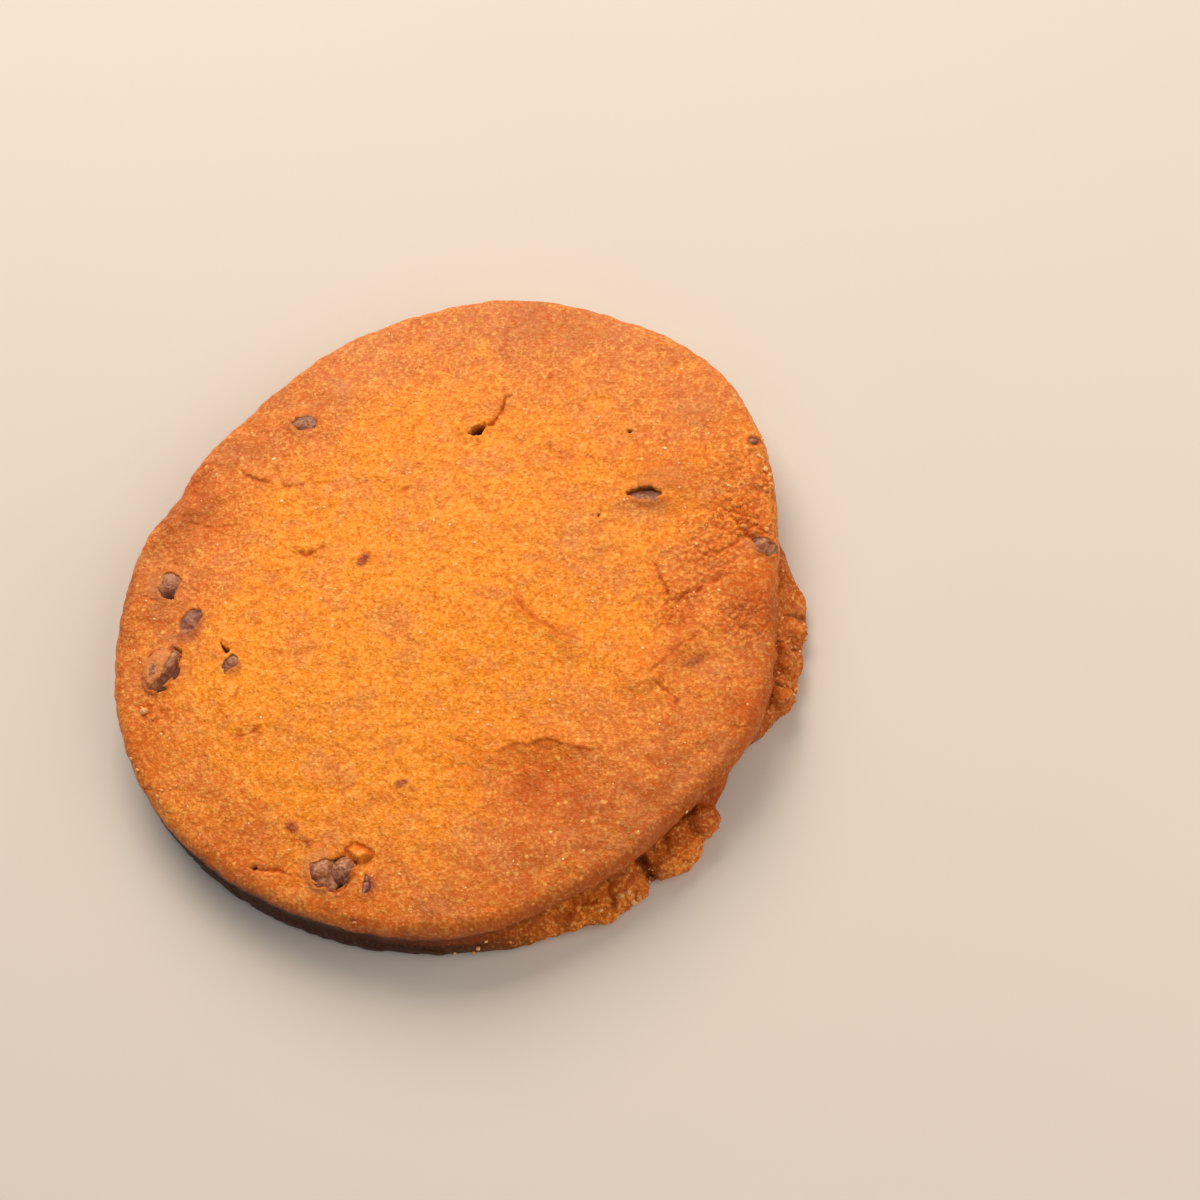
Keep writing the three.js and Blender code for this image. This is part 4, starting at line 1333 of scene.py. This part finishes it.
def bloomed_chocolate(settings):
    """Milk chocolate that melted in the oven and set again: brown, waxy and dulled by a grey bloom."""
    material, tree, place = blank("bloomed_milk_chocolate")
    brown = add(tree, "Attribute", {"attribute_name": "brown"}).outputs["Fac"]
    bloom = add(tree, "Attribute", {"attribute_name": "bloom"}).outputs["Fac"]
    dust = add(tree, "TexNoise", {}, {"Vector": place, "Scale": 1 / BLOOM_DUST, "Detail": 3}).outputs["Fac"]
    cloud = add(tree, "TexNoise", {}, {"Vector": place, "Scale": 1 / BLOOM_CLOUD, "Detail": 2}).outputs["Fac"]
    dark = add(tree, "Attribute", {"attribute_name": "dark"}).outputs["Fac"]
    layers = [
        (settings.brown, brown),
        (settings.bloom, bloom, (dust, 0.35, 0.7), (cloud, 0.35, 0.65, 0.3, 1.0)),
        (settings.dark, (cloud, 0.46, 0.3), 0.6),
        # Bare dark chocolate, and painted shade in folds and on a chip's shaded side.
        (settings.dark, dark),
    ]
    bumpy = add(tree, "Bump", {}, {"Height": dust, "Distance": BLOOM_RISE * MM, "Strength": 0.6}).outputs[0]
    inputs = {
        "Base Color": layered(tree, settings.purple, layers),
        "Roughness": product(tree, [(cloud, 0.35, 0.65, 0.3, 0.6)]),
        "IOR": 1.46,
        "Normal": bumpy,
    }
    shader = add(tree, "BsdfPrincipled", {}, inputs).outputs[0]
    add(tree, "OutputMaterial", {}, {"Surface": shader})
    return material


def broken_dough(settings):
    """Crumbs of the same dough: dry and matt, some golden brown and some pale."""
    material, tree, place = blank("dough_crumb")
    pale = add(tree, "Attribute", {"attribute_name": "pale"}).outputs["Fac"]
    fine = add(tree, "TexNoise", {}, {"Vector": place, "Scale": 1 / CRUMB_PITS, "Detail": 2}).outputs["Fac"]
    layers = [(settings.pale, pale), (settings.brown, (fine, 0.5, 0.3), 0.5)]
    bumpy = add(tree, "Bump", {}, {"Height": fine, "Distance": PIT_RISE * MM, "Strength": 0.8}).outputs[0]
    colour = layered(tree, settings.crumb, layers)
    inputs = {"Base Color": colour, "Roughness": 0.7, "IOR": 1.46, "Normal": bumpy}
    shader = add(tree, "BsdfPrincipled", {}, inputs).outputs[0]
    add(tree, "OutputMaterial", {}, {"Surface": shader})
    return material


def coarse_sugar(settings):
    """Sugar grains browned by the oven: pale, clear enough to catch the light on their flats."""
    material, tree, place = blank("coarse_sugar")
    cloud = add(tree, "TexNoise", {}, {"Vector": place, "Scale": 1 / SUGAR_CLOUD, "Detail": 1}).outputs["Fac"]
    base = layered(tree, settings.sugar, [(settings.amber, (cloud, 0.4, 0.7), 0.6)])
    shader = add(tree, "BsdfPrincipled", {}, {"Base Color": base, "Roughness": 0.3, "IOR": 1.54}).outputs[0]
    add(tree, "OutputMaterial", {}, {"Surface": shader})
    return material


def painted_board(colour):
    """A matt painted board: even, pale, with the faintest mottling."""
    material, tree, place = blank("matt_painted_board")
    cloud = add(tree, "TexNoise", {}, {"Vector": place, "Scale": 1 / BOARD_WAVE, "Detail": 3}).outputs["Fac"]
    base = layered(tree, colour, [((0.5, 0.5, 0.5), (cloud, 0.3, 0.7, 0.0, 0.03))])
    shader = add(tree, "BsdfPrincipled", {}, {"Base Color": base, "Roughness": 0.9}).outputs[0]
    add(tree, "OutputMaterial", {}, {"Surface": shader})
    return material


# ---- What a user may change ----


def colour_property(name, code, description):
    """A colour that a user may change, given as a hex code."""
    return bpy.props.FloatVectorProperty(
        name=name, description=description, subtype="COLOR", size=3, min=0, max=1, default=linear(code)
    )


class BiscuitCrustSettings(bpy.types.PropertyGroup):
    """Colours of the baked dough."""

    middle: colour_property("Middle", "#F69A1A", "Dough in the middle of the top")
    amber: colour_property("Amber", "#DC8236", "Dough on the way to the rim")
    brown: colour_property("Brown", "#8E4010", "Deepest brown, at the foot and base")
    golden: colour_property("Golden", "#F9A435", "Patches that stayed yellow")
    # Also painted highlight on raised granules.
    pale: colour_property("Pale grain", "#FFC66C", "Sugar and flour grains in the skin")
    # Also painted shade down the front of the side.
    burnt_and_shade: colour_property("Burnt", "#3A1403", "The smooth front of the side")
    # Deep orange painted shade in hollows, cracks and grooves, and patches of deep orange at random.
    ember_and_shade: colour_property("Ember", "#C85A00", "Wet, deep orange hollows")
    # A mauve painted sheen, mostly near the far rim and on raised granules.
    rosy_sheen: colour_property("Rosy", "#CC8458", "Mauve brown patches near the rim")
    # Painted shade in the seams between puffs, and dark grain cells.
    seam: colour_property("Seam", "#C06010", "Seams between puffs of dough")
    torn: colour_property("Torn", "#F48A22", "Crumb where the foot is torn")
    film: colour_property("Film", "#C68A5E", "Thin skin over a chip")
    stain: colour_property("Stain", "#842C30", "Skin stained by chocolate")
    # Painted shade in cracks, clefts and grooves, on the rim and in pinholes, and a darker mottle on torn
    # dough.
    crack: colour_property("Crack", "#A24604", "Inside shallow cracks")
    # Painted shade inside sockets, openings, the ledge's cracks and the groove.
    dark: colour_property("Dark", "#3A1002", "Inside sockets and the groove")


class BiscuitChipSettings(bpy.types.PropertyGroup):
    """Colours of the chocolate."""

    brown: colour_property("Brown", "#965630", "Chocolate where it is brown")
    purple: colour_property("Purple", "#864C42", "Chocolate where it looks purple")
    bloom: colour_property("Bloom", "#CCA286", "Grey bloom on the chocolate")
    # Bare dark chocolate, and painted shade in folds and on a chip's shaded side.
    dark: colour_property("Dark", "#541C08", "Bare dark chocolate without bloom")


class BiscuitCrumbSettings(bpy.types.PropertyGroup):
    """Crumbs on the ledge and the rim."""

    crumb: colour_property("Crumb", "#D88A3E", "Most crumbs")
    pale: colour_property("Pale", "#FFD696", "The palest crumbs")
    brown: colour_property("Brown", "#A85A20", "Pits in the crumbs")
    count: bpy.props.IntProperty(
        name="Count", description="Crumbs scattered on the torn ledge", default=150, min=0, max=400
    )
    seed: bpy.props.IntProperty(name="Seed", description="Another scatter of the same crumbs", default=4)


class BiscuitSugarSettings(bpy.types.PropertyGroup):
    """Sugar grains in the top."""

    sugar: colour_property("Sugar", "#FFEBC2", "Sugar that stayed white")
    amber: colour_property("Amber", "#F5B860", "Sugar that browned")
    count: bpy.props.IntProperty(
        name="Count", description="Grains scattered over the top", default=120, min=0, max=2000
    )
    seed: bpy.props.IntProperty(name="Seed", description="Another scatter of the same grains", default=9)


class BiscuitStageSettings(bpy.types.PropertyGroup):
    """Floor and lights."""

    floor: colour_property("Floor", "#D8DDE4", "Pale floor")
    floor_size: bpy.props.FloatProperty(
        name="Floor size", description="Side of the square floor", default=4.0, min=0.5, unit="LENGTH"
    )
    key_power: bpy.props.FloatProperty(
        name="Key light", description="Soft light above and behind", default=6.4, min=0, unit="POWER"
    )
    fill_power: bpy.props.FloatProperty(
        name="Fill light", description="Soft light at the right", default=2.0, min=0, unit="POWER"
    )
    light: colour_property("Light", "#FFE2C2", "Colour of both lights")
    sky_colour: colour_property("Sky colour", "#FFF0E0", "Colour of the pale sky")
    sky: bpy.props.FloatProperty(name="Sky", description="Strength of the pale sky", default=0.32, min=0)


# ---- Operators ----


class BISCUIT_OT_stage(bpy.types.Operator):
    """Lay the floor, hang the lights and set up the camera"""

    bl_idname = "biscuit.stage"
    bl_label = "Stage"
    bl_options = {"REGISTER", "UNDO"}

    def execute(self, context):
        settings = context.scene.biscuit_stage
        lay_floor(settings)
        hang_light("key", settings.key_power, KEY_SIDE, KEY_PLACE, settings.light)
        hang_light("fill", settings.fill_power, FILL_SIDE, FILL_PLACE, settings.light)
        world = bpy.data.worlds.new("pale_sky")
        world.use_nodes = True
        sky = world.node_tree.nodes["Background"]
        sky.inputs["Color"].default_value = (*settings.sky_colour, 1)
        sky.inputs["Strength"].default_value = settings.sky
        context.scene.world = world
        context.scene.camera = aimed_camera()
        context.scene.view_settings.view_transform = "Standard"
        return {"FINISHED"}


def lay_floor(settings):
    """A square floor just below the biscuit's base."""
    half = settings.floor_size / 2
    mesh = bpy.data.meshes.new("floor")
    corners = [(-half, -half, 0), (half, -half, 0), (half, half, 0), (-half, half, 0)]
    mesh.from_pydata(corners, [], [(0, 1, 2, 3)])
    mesh.materials.append(painted_board(settings.floor))
    floor = bpy.data.objects.new("floor", mesh)
    floor.location.z = -FLOOR_GAP
    bpy.context.scene.collection.objects.link(floor)


def hang_light(name, power, side, place, colour):
    """A square soft light that shines on the biscuit's middle."""
    light = bpy.data.lights.new(name, "AREA")
    light.energy = power
    light.size = side
    light.color = colour
    lamp = bpy.data.objects.new(name, light)
    lamp.location = place
    lamp.rotation_euler = (-Vector(place)).to_track_quat("-Z", "Y").to_euler()
    bpy.context.scene.collection.objects.link(lamp)


def aimed_camera():
    """A camera whose picture has the biscuit's middle at MIDDLE_PX and its +X level."""
    azimuth, elevation = math.radians(VIEW_AZIMUTH), math.radians(VIEW_ELEVATION)
    level = math.cos(elevation)
    towards = Vector((math.sin(azimuth) * level, -math.cos(azimuth) * level, math.sin(elevation)))
    middle = Vector(in_frame((0, 0, AIM_HEIGHT)))
    pixels = VIEW_LENS / SENSOR * FRAME_PX
    right_of = (MIDDLE_PX[0] - FRAME_PX / 2) / pixels
    above = (FRAME_PX / 2 - MIDDLE_PX[1]) / pixels
    ray = math.hypot(1, right_of, above)
    forward = -towards
    for _ in range(AIM_TRIES):
        right = (Vector((1, 0, 0)) - forward.x * forward).normalized()
        up = right.cross(forward)
        forward = (-towards * ray - right * right_of - up * above).normalized()
    data = bpy.data.cameras.new("camera")
    data.lens = VIEW_LENS
    data.sensor_width = SENSOR
    data.clip_start = NEAREST
    camera = bpy.data.objects.new("camera", data)
    turn = Matrix((right, up, -forward)).transposed().to_4x4()
    camera.matrix_world = Matrix.Translation(middle + towards * VIEW_DISTANCE * MM) @ turn
    bpy.context.scene.collection.objects.link(camera)
    return camera


class BISCUIT_OT_crust(bpy.types.Operator):
    """Bake the crust: the whole body of dough with its cracks, sockets and torn ledge"""

    bl_idname = "biscuit.crust"
    bl_label = "Crust"
    bl_options = {"REGISTER", "UNDO"}

    def execute(self, context):
        dough = baked_dough(context.scene.biscuit_crust)
        points, faces, marks = crust_mesh()
        new_piece("crust", points, faces, dough, marks)
        return {"FINISHED"}


class BISCUIT_OT_chips(bpy.types.Operator):
    """Set the chocolate chips into their sockets"""

    bl_idname = "biscuit.chips"
    bl_label = "Chocolate chips"
    bl_options = {"REGISTER", "UNDO"}

    def execute(self, context):
        chocolate = bloomed_chocolate(context.scene.biscuit_chips)
        points, faces, marks = all_chips()
        new_piece("chocolate_chips", points, faces, chocolate, marks)
        return {"FINISHED"}


class BISCUIT_OT_crumbs(bpy.types.Operator):
    """Drop crumbs on the torn ledge and the rim of the baked crust"""

    bl_idname = "biscuit.crumbs"
    bl_label = "Crumbs"
    bl_options = {"REGISTER", "UNDO"}

    def execute(self, context):
        settings = context.scene.biscuit_crumbs
        points, faces, marks = all_crumbs(settings.seed, settings.count)
        new_piece("crumbs", points, faces, broken_dough(settings), marks)
        return {"FINISHED"}


class BISCUIT_OT_sugar(bpy.types.Operator):
    """Set sugar grains into the top of the baked crust"""

    bl_idname = "biscuit.sugar"
    bl_label = "Sugar grains"
    bl_options = {"REGISTER", "UNDO"}

    def execute(self, context):
        settings = context.scene.biscuit_sugar
        points, faces = all_sugar(settings.seed, settings.count)
        grains = new_piece("sugar_grains", points, faces, coarse_sugar(settings))
        grains.data.shade_flat()
        return {"FINISHED"}


class BISCUIT_PT_parts(bpy.types.Panel):
    """Lists what the biscuit is made of"""

    bl_idname = "BISCUIT_PT_parts"
    bl_label = "Chocolate chip biscuit"
    bl_space_type = "VIEW_3D"
    bl_region_type = "UI"
    bl_category = "Biscuit"

    def draw(self, context):
        for operator, group in PARTS:
            self.layout.operator(operator.bl_idname)
            settings = getattr(context.scene, group, None)
            for name in getattr(settings, "__annotations__", ()):
                self.layout.prop(settings, name)


PARTS = [
    (BISCUIT_OT_stage, "biscuit_stage"),
    (BISCUIT_OT_crust, "biscuit_crust"),
    (BISCUIT_OT_chips, "biscuit_chips"),
    (BISCUIT_OT_crumbs, "biscuit_crumbs"),
    (BISCUIT_OT_sugar, "biscuit_sugar"),
]
GROUPS = {
    "biscuit_stage": BiscuitStageSettings,
    "biscuit_crust": BiscuitCrustSettings,
    "biscuit_chips": BiscuitChipSettings,
    "biscuit_crumbs": BiscuitCrumbSettings,
    "biscuit_sugar": BiscuitSugarSettings,
}
CLASSES = [*GROUPS.values(), *[operator for operator, _ in PARTS], BISCUIT_PT_parts]


def register():
    for cls in CLASSES:
        bpy.utils.register_class(cls)
    for name, group in GROUPS.items():
        setattr(bpy.types.Scene, name, bpy.props.PointerProperty(type=group))


def unregister():
    for name in GROUPS:
        delattr(bpy.types.Scene, name)
    for cls in reversed(CLASSES):
        bpy.utils.unregister_class(cls)


def main():
    register()
    bpy.ops.biscuit.stage()
    bpy.ops.biscuit.crust()
    bpy.ops.biscuit.chips()
    bpy.ops.biscuit.crumbs()
    bpy.ops.biscuit.sugar()


if __name__ == "__main__":
    main()
